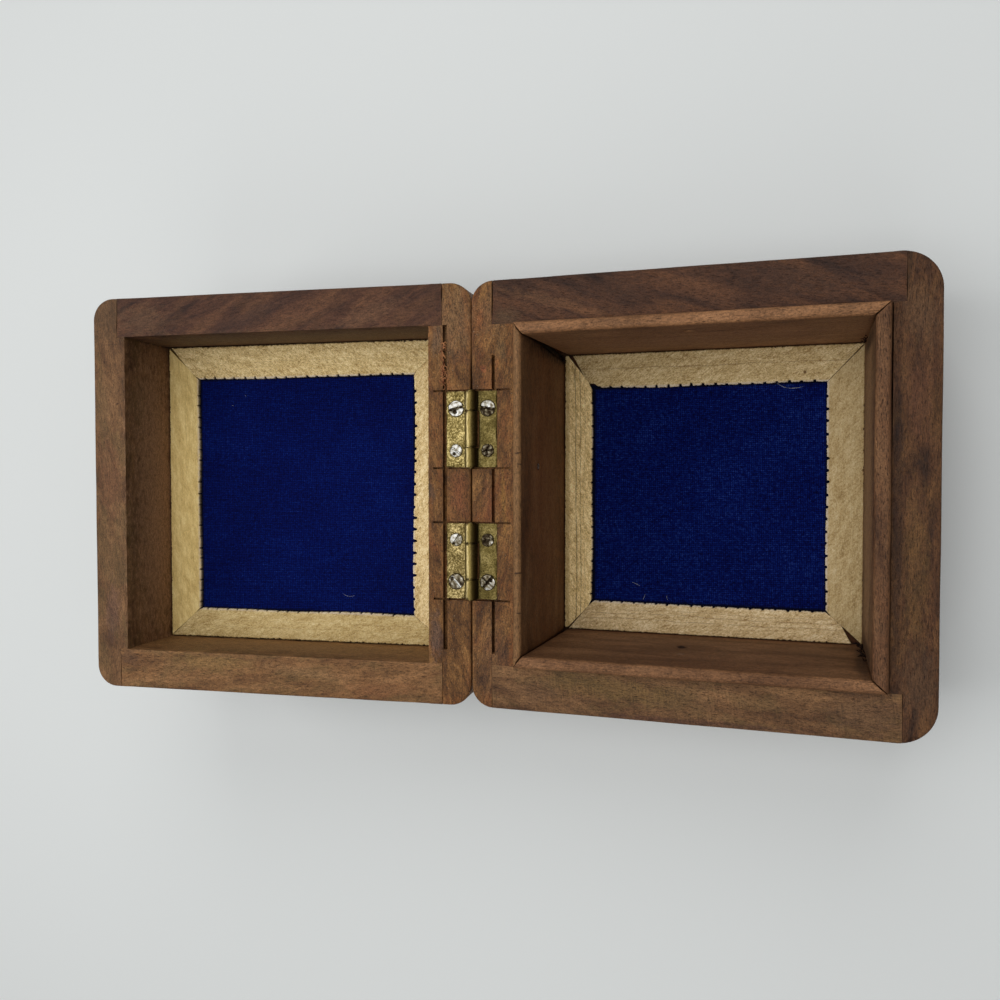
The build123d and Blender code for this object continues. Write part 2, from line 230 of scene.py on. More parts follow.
def timber(name, runs, dark, middle, light, patch, box, figure_turn=0.0, figure_mm=(30, 3.2, 3.2),
           patch_share=0.5, fibre=0.18, fine=0.42, grit=0.34, pores=0.55, sawn=0.0, marks=(),
           worn=(128, 94, 66), dust=0.0, outside=None, on_lid=False, shift=(0, 0, 0)):
    """Rosewood with its grain along Y ("y") or X ("x"). Bands of figure pass through three shades, and over
    them lie patches, three sizes of fibre, pores, saw scratches across the grain, marks, paler edges and
    dust. A mark is an oval: its middle and its lengths in millimetres, its turn in degrees, its colour and
    how much it covers. Given along X and Y alone, it goes right through the wood, as a deep length does.
    On the upright faces of the outside box, below the rim, the figure is straight and there are no marks."""
    wood = Finish(name, on_lid)
    lay = 90 if runs == "y" else 0
    bands = wood.noise(figure_mm, lay + figure_turn, shift, detail=4, rough=0.6, twist=0.6)
    covered = 1.0
    if outside is not None:
        x, y, _ = wood.axes(wood.depth_in(*outside))
        skin = wood.span(wood.sums("MINIMUM", x, y), 0.7 * MM, 1.3 * MM, 1.0, 0.0)
        height = wood.axes(wood.place)[2]
        upright = wood.times(skin, wood.span(height, -1.3 * MM, -0.7 * MM, 1.0, 0.0))
        straight = wood.noise((46, 4, 1.7), lay, (8, 5, 2), detail=5, rough=0.6, twist=0.25)
        bands = wood.sums("MULTIPLY_ADD", wood.sums("SUBTRACT", straight, bands), upright, bands)
        covered = wood.sums("SUBTRACT", 1.0, upright)
    colour = wood.ramp(bands, (0.33, paint(*dark)), (0.5, paint(*middle)), (0.68, paint(*light)))
    blot = wood.noise((11, 5, 5), lay + figure_turn, (7, 3, 1), detail=3, rough=0.6, twist=0.4)
    share = wood.span(blot, 0.45, 0.66, 0.0, patch_share, smooth=True)
    colour = wood.mix(wood.times(share, covered), colour, paint(*patch))
    ragged = wood.noise((2.4, 1.2, 1.2), lay, (3, 6, 2), detail=4, rough=0.7)
    for at, lengths, turn, shade, cover in marks:
        at, lengths = (*at, 0)[:3], (*lengths, deep)[:3]
        near = wood.vectors("LENGTH", wood.cells([part / 2 for part in lengths], turn, at))
        near = wood.plus(near, wood.span(ragged, 0.3, 0.7, -0.45, 0.45))
        share = wood.times(wood.span(near, 0.3, 1.2, cover, 0.0, smooth=True), covered)
        colour = wood.mix(share, colour, paint(*shade))
    strands = wood.noise((2.6, 0.2, 0.2), lay + figure_turn * 0.4, shift, detail=3, rough=0.7, twist=0.3)
    thread = wood.noise((1.1, 0.42, 0.42), lay + figure_turn * 0.5, (2, 8, 3), detail=3, rough=0.8)
    crumb = wood.noise((0.4, 0.27, 0.27), lay + 20, (6, 2, 9), detail=2, rough=0.8)
    value = wood.span(strands, 0.25, 0.75, 1 - fibre, 1 + fibre)
    value = wood.plus(value, wood.span(thread, 0.3, 0.7, -fine, fine))
    value = wood.plus(value, wood.span(crumb, 0.3, 0.7, -grit, grit))
    if sawn:
        scratch = wood.noise((0.34, 7, 7), lay + 7, (5, 5, 5), detail=2, rough=0.6)
        broken = wood.span(wood.noise((9, 4, 4), lay, (9, 1, 4)), 0.42, 0.6, 0.0, 1.0, smooth=True)
        value = wood.sums("MULTIPLY_ADD", wood.span(scratch, 0.34, 0.66, -sawn, sawn), broken, value)
    grey = wood.add("CombineColor", {0: value, 1: value, 2: value}).outputs[0]
    colour = wood.mix(1.0, colour, grey, "MULTIPLY")
    holes = wood.noise((1.4, 0.18, 0.18), lay + figure_turn * 0.2, (4, 9, 2), detail=1, rough=0.5)
    pore = wood.span(holes, 0.63, 0.71, 0.0, pores)
    colour = wood.mix(pore, colour, paint(36, 20, 13))
    chafe = wood.noise((3, 0.8, 0.8), lay, (1, 2, 3), detail=3, rough=0.6)
    share = wood.times(wood.arris(*box, 0.5), wood.span(chafe, 0.42, 0.62, 0.0, 0.4))
    colour = wood.mix(share, colour, paint(*worn))
    if dust:
        specks = wood.noise((0.45, 0.3, 0.3), 50, (7, 7, 7), detail=1, rough=0.5)
        colour = wood.mix(wood.span(specks, 0.73, 0.78, 0.0, dust), colour, paint(184, 164, 136))
    tilth = wood.plus(wood.sums("SUBTRACT", strands, pore), wood.plus(thread, crumb))
    return wood.finish(Base_Color=colour, Roughness=wood.span(strands, 0.3, 0.7, 0.70, 0.54),
                       Specular_IOR_Level=0.25, Normal=wood.bump(tilth, 0.10))


def unevenness(places, size_mm, seed):
    """Smooth random height, mostly within -1 to 1: a sum of plane waves of random heading and phase, whose
    lengths lie round that size. The places may have one, two or three axes."""
    waves = 14
    chance = np.random.default_rng(seed)
    headings = chance.normal(size=(waves, places.shape[-1]))
    headings /= np.linalg.norm(headings, axis=1, keepdims=True)
    lengths = chance.uniform(0.7, 1.5, waves) * size_mm * MM
    phases = chance.uniform(0, math.tau, waves)
    total = np.zeros(places.shape[:-1])
    for heading, length, phase in zip(headings, lengths, phases):
        total += np.sin(places @ (heading * math.tau / length) + phase)
    return total / math.sqrt(waves)


def place_piece(name, mesh, points, material, stands_for, sharp=35, body=None):
    """Gives a mesh its points, which are measured from the hinge axis with the lid turned level. The piece
    takes the place of CAD nodes and rides on their body, or on the body given where it stands for none."""
    body = body or nodes[stands_for[0]]["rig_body"]
    points = np.asarray(points, float).reshape(-1, 3)
    if body == "lid":
        points = points @ np.array(Matrix.Rotation(-lid_tilt, 3, "Y"))
    mesh.vertices.foreach_set("co", (points + np.array(hinge_axis)).ravel())
    mesh.shade_smooth()
    mesh.set_sharp_from_angle(angle=math.radians(sharp))
    mesh.materials.clear()
    mesh.materials.append(material)
    mesh.update()
    made = bpy.data.objects.new(name, mesh)
    bpy.context.scene.collection.objects.link(made)
    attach(made, body)
    if stands_for:
        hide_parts(*stands_for)
    return made


def rubbed(node, name, material, grid_mm, seed, blunt=0.09, nick=0.4, wave=0.06, beside=0.13, torn=(),
           joined=(), shifted=None):
    """The node's own surface, welded and cut into cells, with one more cut close beside each flat face. Every
    point then sinks along its normal: by a slow wave everywhere, and at an arris also by its bluntness, a
    fine fray and now and then a nick. Where it lies in the box of a joined node it sinks only here and there,
    so a joint shows in parts. Torn lines, given as an axis, a place along it, a half width and a depth, fray
    more. Shifted is a function of the points in millimetres: how far they move, and how much wear they keep.
    Apart from the weld, the least area, the least gap and the touch, all measures are in millimetres."""
    weld, least_area, least_gap, touch = 1e-6, 4e-6, 2e-5, 1e-4
    made = bmesh.new()
    made.from_mesh(nodes[node].data)
    made.transform(Matrix.Translation(-hinge_axis))
    if nodes[node]["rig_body"] == "lid":
        made.transform(Matrix.Rotation(-lid_tilt, 4, "Y"))
    bmesh.ops.remove_doubles(made, verts=made.verts, dist=weld)
    bmesh.ops.dissolve_limit(made, angle_limit=math.radians(0.3), verts=made.verts, edges=made.edges)
    corners = np.array([point.co for point in made.verts])
    for axis in range(3):
        low, high = corners[:, axis].min(), corners[:, axis].max()
        count = max(1, round((high - low) / (grid_mm[axis] * MM)))
        cuts = list(np.linspace(low, high, count + 1)[1:-1])
        for face in made.faces:
            if abs(face.normal[axis]) > 0.999 and face.calc_area() > least_area:
                cuts.append(face.calc_center_median()[axis] - math.copysign(beside * MM, face.normal[axis]))
        cuts = np.unique(np.round(np.array(cuts), 5))
        heading = [float(axis == other) for other in range(3)]
        for cut in cuts[(cuts > low + least_gap) & (cuts < high - least_gap)]:
            bmesh.ops.bisect_plane(made, geom=made.verts[:] + made.edges[:] + made.faces[:], dist=weld,
                                   plane_co=[cut * part for part in heading], plane_no=heading)
    mesh = bpy.data.meshes.new(name)
    made.to_mesh(mesh)
    made.free()
    points = read(mesh.vertices, "co")
    normals = read(mesh.vertex_normals, "vector")
    sides = read(mesh.polygons, "loop_total", 1, int).ravel()
    owners = read(mesh.loops, "vertex_index", 1, int).ravel()
    sums = np.zeros_like(points)
    np.add.at(sums, owners, np.repeat(read(mesh.polygons, "normal"), sides, 0))
    faces_met = np.bincount(owners, minlength=len(points)).clip(1)
    full_arris = 0.08
    arris = np.clip((1 - np.linalg.norm(sums, axis=1) / faces_met) / full_arris, 0, 1)
    sunk = wave * 0.5 * (1 + unevenness(points, 17, seed).clip(-1, 1))
    fray = 0.5 * np.abs(unevenness(points, 1.6, seed + 1)) + 0.5 * np.abs(unevenness(points, 4.5, seed + 2))
    chipped = np.clip(unevenness(points, 3.2, seed + 3) - 1.15, 0, 1)
    edge = blunt * (0.35 + 1.6 * fray) + nick * chipped
    for axis, at, half_width, depth in torn:
        close = np.abs(points[:, axis] / MM - at) < half_width
        edge = edge + close * depth * np.abs(unevenness(points, 1.0, seed + 5))
    for other in joined:
        low, high = [np.array(corner) for corner in level_box(other)]
        met = np.all((points > low - touch) & (points < high + touch), axis=1)
        showing = np.clip(unevenness(points, 9, seed + 6) + 0.1, 0, 0.9)
        edge = np.where(met, showing * edge, edge)
        sunk = np.where(met, 0.2 * sunk, sunk)
    moved, kept = shifted(points / MM) if shifted else (0 * points, 1)
    points = points - normals * ((sunk + arris * edge) * kept * MM)[:, None] + moved * MM
    place_piece(name, mesh, points, material, [node])


def along_x(step):
    """A move along X alone."""
    return np.stack([step, 0 * step, 0 * step], -1)


def closing(sign):
    """The hinge rails' facing faces stand nearer to each other than their nodes' do, by a little along most
    of their length and by almost nothing beside the right hinge. At the far end they touch and stay sharp."""
    touching = 0.243

    def shift(points):
        over = np.interp(points[:, 1], (19, 21, 25, 31, 35), (0.14, 0.03, 0.03, 0.17, touching))
        near = np.clip(1 - (np.abs(points[:, 0]) - 0.3) / 3, 0, 1)
        return along_x(0.98 * sign * over * near), 1 - over / touching * near
    return shift


def short_end(points):
    """The base's right rail ends short of the rail at the hinges by up to 0.28 mm, most at its outer side and
    at the rim, and by a fifth of that 25 mm lower down."""
    at_end = points[:, 0] < points[:, 0].min() + 0.4
    short = np.interp(points[:, 1], (41, 43, 48), (0, 0.14, 0.28))
    return along_x(at_end * (short * np.interp(points[:, 2], (-25, 0), (0.2, 1)))), 1


def parted(points):
    """The far end of the lid's front rail leans out at its floor, by up to 0.4 mm over its last 6 mm, which
    opens a dark wedge in the corner."""
    lean = np.clip((points[:, 1] - 34.7) / 6, 0, 1) * np.clip(-points[:, 2] / 20, 0, 1)
    return along_x(-0.5 * lean * (points[:, 0] > -93.5)), 1


plum_brown = dict(dark=(50, 33, 27), middle=(78, 51, 38), light=(103, 70, 49), patch=(88, 60, 41),
                  worn=(100, 74, 54))
dark_plum = dict(dark=(44, 28, 21), middle=(71, 46, 32), light=(96, 63, 41), patch=(80, 53, 37),
                 worn=(88, 64, 46))
warm_brown = dict(dark=(90, 60, 37), middle=(121, 86, 54), light=(145, 105, 69), patch=(98, 78, 48))
dull_brown = dict(dark=(78, 53, 34), middle=(105, 75, 49), light=(127, 93, 62), patch=(92, 73, 45))
umber = dict(dark=(50, 32, 21), middle=(78, 51, 32), light=(100, 69, 43), patch=(88, 62, 34))
russet = dict(dark=(71, 46, 25), middle=(104, 71, 39), light=(133, 95, 55), patch=(120, 72, 40), fine=0.6,
              grit=0.5, pores=0.32, dust=0.5)
cross_cuts = tuple((1, side * place, 0.5, 0.16) for side in (-1, 1) for place in (6.6, 25.0))
rails = {
    "lid_right_rail": dict(runs="x", figure_turn=24, figure_mm=(26, 4.4, 4.4), pores=0.35, marks=(
        ((-58, 44), (26, 5), 24, (66, 46, 38), 0.6),
        ((-26, 44), (20, 5), 20, (112, 80, 58), 0.5),
        ((-88, 45), (16, 9), 0, (92, 68, 50), 0.6),
        # Painted light: the inner wall below the rim is lightened to offset its shade.
        ((-50, 40.7, -14), (140, 3, 26), 0, (112, 86, 58), 0.7),
    ), **plum_brown),
    "base_right_rail": dict(runs="x", figure_turn=-20, figure_mm=(30, 4.6, 4.6), shift=(30, 8, 0),
                            shifted=short_end, marks=(
        ((20, 45), (34, 3.2), -16, (104, 72, 49), 0.55),
        ((56, 44.5), (22, 5), -30, (98, 65, 44), 0.5),
        ((76, 47), (30, 9), -8, (54, 38, 31), 0.5),
        ((9, 42), (8, 5), 0, (86, 66, 46), 0.6),
    ), **dark_plum),
    "lid_left_rail": dict(runs="x", figure_turn=9, figure_mm=(15, 4, 4), sawn=0.1, marks=(
        ((-23, -48), (22, 5), 4, (130, 86, 56), 0.45),
        ((-70, -43), (26, 5), -4, (130, 102, 60), 0.45),
        ((-44, -44.5), (24, 3), -6, (142, 108, 74), 0.35),
        ((-93, -43), (7, 5), 0, (84, 60, 44), 0.6),
        # Painted light: the inner wall below the rim is lightened to offset its shade.
        ((-50, -40.7, -14), (140, 3, 26), 0, (150, 112, 70), 0.75),
    ), **warm_brown),
    "base_left_rail": dict(runs="x", figure_turn=-8, figure_mm=(16, 3.4, 3.4), shift=(9, 4, 1), sawn=0.2,
                           marks=(
        ((32, -44), (36, 6), -3, (108, 84, 48), 0.45),
        ((54, -50), (60, 1.6), 0, (70, 44, 38), 0.55),
        ((88, -45), (18, 10), 0, (96, 70, 50), 0.6),
        ((17, -46), (10, 7), 0, (88, 64, 44), 0.5),
    ), **dull_brown),
    "lid_front_rail": dict(runs="y", figure_turn=10, figure_mm=(12, 4.4, 4.4), pores=0.3, shifted=parted,
                           marks=(
        ((-98, 46), (14, 15), 0, (88, 66, 46), 0.7),
        ((-98, 4), (7, 22), 4, (116, 78, 54), 0.45),
        ((-97.5, -30.5), (5, 18), -4, (102, 75, 62), 0.5),
        ((-99.5, 22), (4, 16), 6, (122, 92, 62), 0.4),
        ((-95.4, 23.4), (1.1, 0.7), 30, (52, 32, 20), 0.8),
        ((-99, 34.4), (1.0, 0.7), 70, (58, 36, 22), 0.8),
        ((-97.5, 38.9), (7, 0.5), 0, (72, 50, 34), 0.5),
        # Painted light: the inner wall below the rim is lightened to offset its shade.
        ((-92.8, 0, -14), (3, 120, 26), 0, (151, 114, 85), 0.85),
        # Painted shade: near black on the inner face at the far end, seen through the corner gap.
        ((-92.8, 41.2, -16), (3, 2.0, 30), 0, (18, 11, 7), 0.97),
    ), **dull_brown),
    "base_front_rail": dict(runs="y", figure_turn=-4, figure_mm=(15, 3, 3), fibre=0.26, pores=0.7,
                            patch_share=0.35, marks=(
        ((97.5, -15), (6, 34), 0, (108, 80, 46), 0.35),
        ((94, -5), (2.6, 74), 0, (50, 34, 26), 0.55),
        ((98.5, -38), (8, 16), 0, (84, 62, 44), 0.55),
        ((98, 38), (8, 14), 10, (92, 68, 48), 0.5),
        ((98, 20), (6, 16), 0, (92, 60, 42), 0.5),
    ), **umber),
    "lid_back_rail": dict(runs="y", figure_turn=14, figure_mm=(9, 3, 3), shifted=closing(1),
                          torn=((0, -6.5, 0.8, 0.34), *cross_cuts), marks=(
        ((-5, 42), (12, 22), 0, (120, 94, 66), 0.5),
        ((-8.4, 37), (3, 7), 0, (98, 78, 62), 0.5),
        ((-10, 1), (2.4, 6), 10, (74, 60, 50), 0.6),
        ((-9, -34), (3.4, 14), 0, (98, 77, 66), 0.6),
        ((-3.4, 0), (4.4, 14), 0, (114, 68, 44), 0.55),
        ((-9, -12), (1.4, 0.6), 20, (62, 36, 22), 0.7),
        ((-9, -15.7), (1.4, 0.6), -20, (62, 36, 22), 0.7),
        ((-2.4, 33), (4, 5), 20, (88, 54, 34), 0.5),
    ), **russet),
    "base_back_rail": dict(runs="y", figure_turn=-12, figure_mm=(9, 3, 3), shift=(2, 5, 3),
                           shifted=closing(-1), torn=((0, 5.6, 0.7, 0.28), *cross_cuts), marks=(
        ((5, 43), (10, 14), 0, (112, 86, 60), 0.45),
        ((2.3, 41.5), (2.6, 5), 0, (136, 82, 46), 0.45),
        ((3, 30), (1.6, 2.6), 30, (146, 80, 54), 0.4),
        ((7.4, 34.6), (3, 8), 12, (84, 66, 44), 0.6),
        ((8.2, -1), (1.4, 17), 3, (132, 98, 48), 0.45),
        ((4.4, -2), (3.4, 12), 0, (112, 68, 44), 0.45),
        ((5.5, -40), (11, 26), 0, (84, 60, 44), 0.5),
        ((1.5, 34), (4, 5), -20, (84, 52, 32), 0.5),
    ), **russet),
}


def joined_to(name):
    """The other wooden nodes of the same half."""
    half = [other for other in nodes if other.startswith(name.split("_")[0])]
    return [other for other in half if other.endswith(("rail", "board", "liner")) and other != name]


def rails_box(half):
    """The box that a half's four rails fill together."""
    boxes = [level_box(name) for name in rails if name.startswith(half)]
    return Vector(np.min([low for low, high in boxes], 0)), Vector(np.max([high for low, high in boxes], 0))


for number, (name, look) in enumerate(rails.items()):
    torn, shifted = look.pop("torn", ()), look.pop("shifted", None)
    wood = timber("rosewood_" + name, box=level_box(name), outside=rails_box(name.split("_")[0]),
                  on_lid=name.startswith("lid"), **look)
    grid_mm = (0.9, 1.3, 3) if look["runs"] == "x" else (1.3, 0.5 if torn else 0.9, 3)
    rubbed(name, "rosewood_" + name, wood, grid_mm, seed=100 + number * 10, torn=torn,
           joined=joined_to(name), shifted=shifted)

# Boards
# The bottom of the base and the top of the lid are plain rosewood boards, planted across the rails'
# edges with glue and sanded flush. The photo doesn't show their faces.
for name in ("base_bottom_board", "lid_top_board"):
    on_lid = name.startswith("lid")
    wood = timber("rosewood_" + name, "x", figure_turn=4, figure_mm=(60, 5, 5), box=level_box(name),
                  on_lid=on_lid, **(plum_brown if on_lid else umber))
    rubbed(name, "rosewood_" + name, wood, (2.2, 2.2, 1.5), seed=200 + 10 * on_lid,
           joined=joined_to(name))

# Liner strips
# Four thin mitred strips of lighter rosewood stand round the base's walls and above its rim. Their top
# edges are rounded over, and each is held by one brad.
def leaning_back(points):
    """The liner at the hinges leans out towards its rail: its inner face goes back 0.2 mm at the rim and
    1 mm at the floor. Its far end is cut short by up to 2.4 mm there, which opens a dark wedge."""
    down = np.clip(-points[:, 2] / 39, 0, 1)
    moved = along_x(-(0.2 + 0.8 * down) * (points[:, 0] > 12))
    moved[:, 1] = -2.4 * down ** 1.6 * np.clip((points[:, 1] - 30) / 8, 0, 1)
    return moved, 1


def leaning_front(points):
    """The front liner leans in by 0.5 mm at the floor, and its left end stands tight against the rail."""
    down = np.clip(-points[:, 2] / 39, 0, 1)
    tight = np.clip((22 - points[:, 1]) / 16, 0, 1)
    return along_x(np.where(points[:, 0] < 90.8, 0.2 - 0.55 * down, 0.2 * tight)), 1


liner_looks = {
    "base_right_liner": dict(runs="x", dark=(112, 78, 51), middle=(138, 98, 66), light=(156, 113, 78),
                             patch=(118, 84, 58), fibre=0.1, marks=(
        ((56, 37.5, -9), (10, deep, 2.4), 0, (66, 42, 30), 0.5),
        ((50, 37.5, -14), (8, deep, 2), 0, (84, 54, 38), 0.4),
        # Painted light: the inner face is lightened to offset its shade.
        ((46, 37.5, -20), (150, 3, 36), 0, (158, 112, 76), 0.5),
    )),
    "base_left_liner": dict(runs="x", dark=(98, 67, 44), middle=(122, 86, 58), light=(144, 104, 72),
                            patch=(112, 78, 52), fibre=0.1, sawn=0.06, marks=(
        # Painted shade: the dark of the gouge round the brad.
        ((46.9, -37.5, -23.2), (3.4, deep, 2.8), 0, (34, 20, 12), 0.95),
        ((47.9, -37.5, -13.4), (2.6, deep, 2.2), 0, (150, 122, 98), 0.8),
        # Painted shade: dark down the inner face at the front corner.
        ((88, -37.5, -16), (3.4, deep, 36), 0, (50, 30, 20), 0.7),
        ((47, -37.5, -17), (30, deep, 12), 0, (100, 70, 44), 0.35),
    )),
    "base_back_liner": dict(runs="y", dark=(86, 56, 33), middle=(112, 79, 50), light=(134, 98, 66),
                            patch=(98, 67, 42), fibre=0.1, marks=(
        # Painted light: the inner face is lightened to offset its shade.
        ((12.7, 0, -20), (2.6, 110, 40), 0, (147, 94, 54), 0.5),
        # Painted shade: the dark of the gouge round the brad.
        ((13.3, 6.8, -13.6), (deep, 1.6, 2.4), 0, (40, 24, 16), 0.9),
        # Painted shade: near black in the wedge that opens at the far end.
        ((12.1, 38.2, -32), (12, 4.4, 64), 119, (12, 8, 5), 1.0),
        ((12.3, 0, 2.6), (5, 110, 3), 0, (136, 102, 66), 0.6),
        ((12.6, 10, 2.3), (2.2, 0.5, 3), 8, (50, 30, 20), 0.8),
        ((12.7, 7.4, 2.3), (1.8, 0.45, 3), -6, (50, 30, 20), 0.8),
        ((12.6, -18, 2.3), (2.6, 0.5, 3), 5, (50, 30, 20), 0.85),
        ((12.6, -27.4, 2.3), (1.6, 0.45, 3), -10, (50, 30, 20), 0.8),
    )),
    "base_front_liner": dict(runs="y", dark=(52, 34, 22), middle=(88, 60, 40), light=(116, 83, 56),
                             patch=(104, 70, 46), fibre=0.28, fine=0.36, pores=0.8, marks=(
        # Painted light: the inner face is lightened to offset its shade.
        ((89.1, 0, -20), (2.6, 110, 40), 0, (154, 118, 83), 0.7),
        # Painted shade: dark down the inner face at both corners.
        ((89.1, 35, -20), (2.4, 4, 38), 0, (42, 26, 18), 0.8),
        ((89.1, -35, -20), (2.4, 5, 38), 0, (44, 28, 18), 0.75),
    )),
}
lean_of = {"base_back_liner": leaning_back, "base_front_liner": leaning_front}
for number, (name, look) in enumerate(liner_looks.items()):
    wood = timber("rosewood_" + name, box=level_box(name), figure_turn=3, figure_mm=(24, 6, 6), **look)
    grid_mm = (0.9, 1.2, 3) if look["runs"] == "x" else (1.2, 0.9, 3)
    rubbed(name, "rosewood_" + name, wood, grid_mm, blunt=0.06, nick=0.3,
           seed=300 + 10 * number, joined=joined_to(name), shifted=lean_of.get(name))

# Cloth
# A square of plain-woven blue cotton lies on each board, its edges held down by the border strips. It isn't
# quite flat, and pale fibres torn off the strips cling to it.
def grid_faces(rows, columns, closed=False):
    """Quads between neighbouring rows and columns of points that are numbered row by row. A closed grid also
    joins its last column to its first."""
    row = np.arange(rows - 1)[:, None] * columns
    here = np.arange(columns if closed else columns - 1)[None, :]
    after = (here + 1) % columns
    return np.stack([row + here, row + after, row + columns + after, row + columns + here], -1).reshape(-1, 4)


def make_piece(name, points, faces, material, stands_for, sharp=50):
    """A new mesh from an array of points, measured from the hinge axis with the lid turned level."""
    mesh = bpy.data.meshes.new(name)
    mesh.from_pydata(np.asarray(points).reshape(-1, 3), [], faces)
    return place_piece(name, mesh, points, material, stands_for, sharp)


def carry(made, label, values):
    """Stores one value for each point of a piece, for its material to read."""
    stored = made.data.attributes.new(label, "FLOAT", "POINT")
    stored.data.foreach_set("value", np.ravel(values))


def border_frame(half):
    """Outer and inner rectangles of a frame of strips, from the boxes of its four CAD nodes."""
    boxes = {side: level_box(f"{half}_{side}_border") for side in ("back", "front", "right", "left")}
    outer_low = np.min([low for low, high in boxes.values()], 0)
    outer_high = np.max([high for low, high in boxes.values()], 0)
    inner_low, inner_high = outer_low.copy(), outer_high.copy()
    for low, high in boxes.values():
        axis = 0 if high.x - low.x < high.y - low.y else 1
        if abs(low[axis] - outer_low[axis]) < MM * 0.5:
            inner_low[axis] = high[axis]
        else:
            inner_high[axis] = low[axis]
    return outer_low, outer_high, inner_low, inner_high


def cotton(name, half, nap_share):
    """Plain weave: a thread is a half wave across, and over and under change places from square to square.
    Slubs and nap lie over it. Along the strips' inner edges it carries a near-black painted shadow, which
    also darkens it round the notches, and glue has browned it under them."""
    cloth = Finish(name, half == "lid")
    x, y, _ = cloth.axes(cloth.cells((0.54, 0.5, 0.5), 1.5))
    warp, weft = [cloth.sums("ABSOLUTE", cloth.sums("SINE", cloth.times(part, math.pi))) for part in (x, y)]
    square = cloth.plus(cloth.sums("FLOOR", x), cloth.sums("FLOOR", y))
    over = cloth.sums("PINGPONG", square, 1.0)
    threads = cloth.sums("MULTIPLY_ADD", cloth.sums("SUBTRACT", warp, weft), over, weft)
    slub = cloth.noise((5, 0.5, 0.5), 1.5, detail=2, rough=0.6)
    cross = cloth.noise((0.5, 5, 0.5), 1.5, (3, 1, 0), detail=2, rough=0.6)
    nap = cloth.noise((0.8, 0.6, 0.6), detail=3, rough=0.85)
    faded = cloth.noise((16, 16, 16), detail=3, rough=0.6)
    tone = cloth.span(faded, 0.35, 0.65, 0.05, 0.17)
    tone = cloth.plus(tone, cloth.span(nap, 0.32, 0.68, -0.04, nap_share))
    tone = cloth.plus(tone, cloth.span(slub, 0.4, 0.7, 0.0, 0.12))
    tone = cloth.plus(tone, cloth.span(cross, 0.4, 0.7, 0.0, 0.09))
    tone = cloth.times(tone, cloth.span(threads, 0.0, 1.0, 0.15, 1.25))
    colour = cloth.ramp(tone, (0.05, paint(0, 6, 42)), (0.4, paint(1, 17, 76)), (0.7, paint(9, 33, 100)),
                        (1.0, paint(40, 60, 122)))
    depths = cloth.axes(cloth.depth_in(*border_frame(half)[2:]))
    inside = cloth.sums("MINIMUM", depths[0], depths[1])
    # Painted shadow: near black along the strips' inner edges and round their notches.
    shade = cloth.span(inside, -0.2 * MM, 0.7 * MM, 0.93, 0.0, smooth=True)
    colour = cloth.mix(shade, colour, paint(11, 10, 19))
    colour = cloth.mix(cloth.span(inside, -1.8 * MM, -1.0 * MM, 1.0, 0.0), colour, paint(88, 59, 42))
    relief = cloth.plus(cloth.times(threads, 0.8), cloth.times(nap, 0.8))
    return cloth.finish(Base_Color=colour, Roughness=0.92, Specular_IOR_Level=0.08, Sheen_Weight=0.12,
                        Sheen_Roughness=0.5, Sheen_Tint=paint(70, 105, 190), Normal=cloth.bump(relief, 0.12))


def fibres(name, body, material, paths, thick_mm):
    """Thin fibres in one mesh. Each is a six-sided tube along a path of points, measured in millimetres from
    the hinge axis, with a radius that shrinks at both ends as the square root of a half sine."""
    around, nearly_up = 6, (0.13, 0.21, 0.97)
    turn = np.linspace(0, math.tau, around, endpoint=False)[None, :, None]
    grids, faces, start = [], [], 0
    for path in paths:
        path = np.asarray(path, float)
        forward = np.gradient(path, axis=0)
        forward = forward / np.linalg.norm(forward, axis=1)[:, None]
        side = np.cross(forward, nearly_up)
        side = side / np.linalg.norm(side, axis=1)[:, None]
        up = np.cross(forward, side)
        radius = thick_mm / 2 * np.sqrt(np.sin(np.linspace(0.06, math.pi - 0.06, len(path))))
        ring = side[:, None] * np.cos(turn) + up[:, None] * np.sin(turn)
        grids.append((path[:, None] + radius[:, None, None] * ring).reshape(-1, 3))
        faces += (grid_faces(len(path), around, closed=True) + start).tolist()
        end = start + len(path) * around
        faces += [list(range(start, start + around))[::-1], list(range(end - around, end))]
        start = end
    mesh = bpy.data.meshes.new(name)
    points = np.concatenate(grids) * MM
    mesh.from_pydata(points, [], faces)
    return place_piece(name, mesh, points, material, [], body=body)


def bow(start, bend, end, count):
    """Points of a curve that leaves start towards bend and arrives at end from there."""
    t = np.linspace(0, 1, count)[:, None]
    start, bend, end = np.array(start), np.array(bend), np.array(end)
    return (1 - t) ** 2 * start + 2 * t * (1 - t) * bend + t ** 2 * end


white_lint = Finish("white_lint")
patchy = white_lint.noise((1.2, 1.2, 1.2), detail=2)
greys = white_lint.ramp(patchy, (0.35, paint(80, 88, 120)), (0.65, paint(176, 180, 190)))
white_lint.finish(Base_Color=greys, Roughness=0.9, Sheen_Weight=0.3, Normal=white_lint.bump(patchy, 0.02))


def lying(height, arcs):
    """Arcs on a cloth whose top lies at that height. Their three points each give X, Y and how far they
    stand above it, all in millimetres."""
    return [bow(*[(x, y, height + above) for x, y, above in points], count) for points, count in arcs]


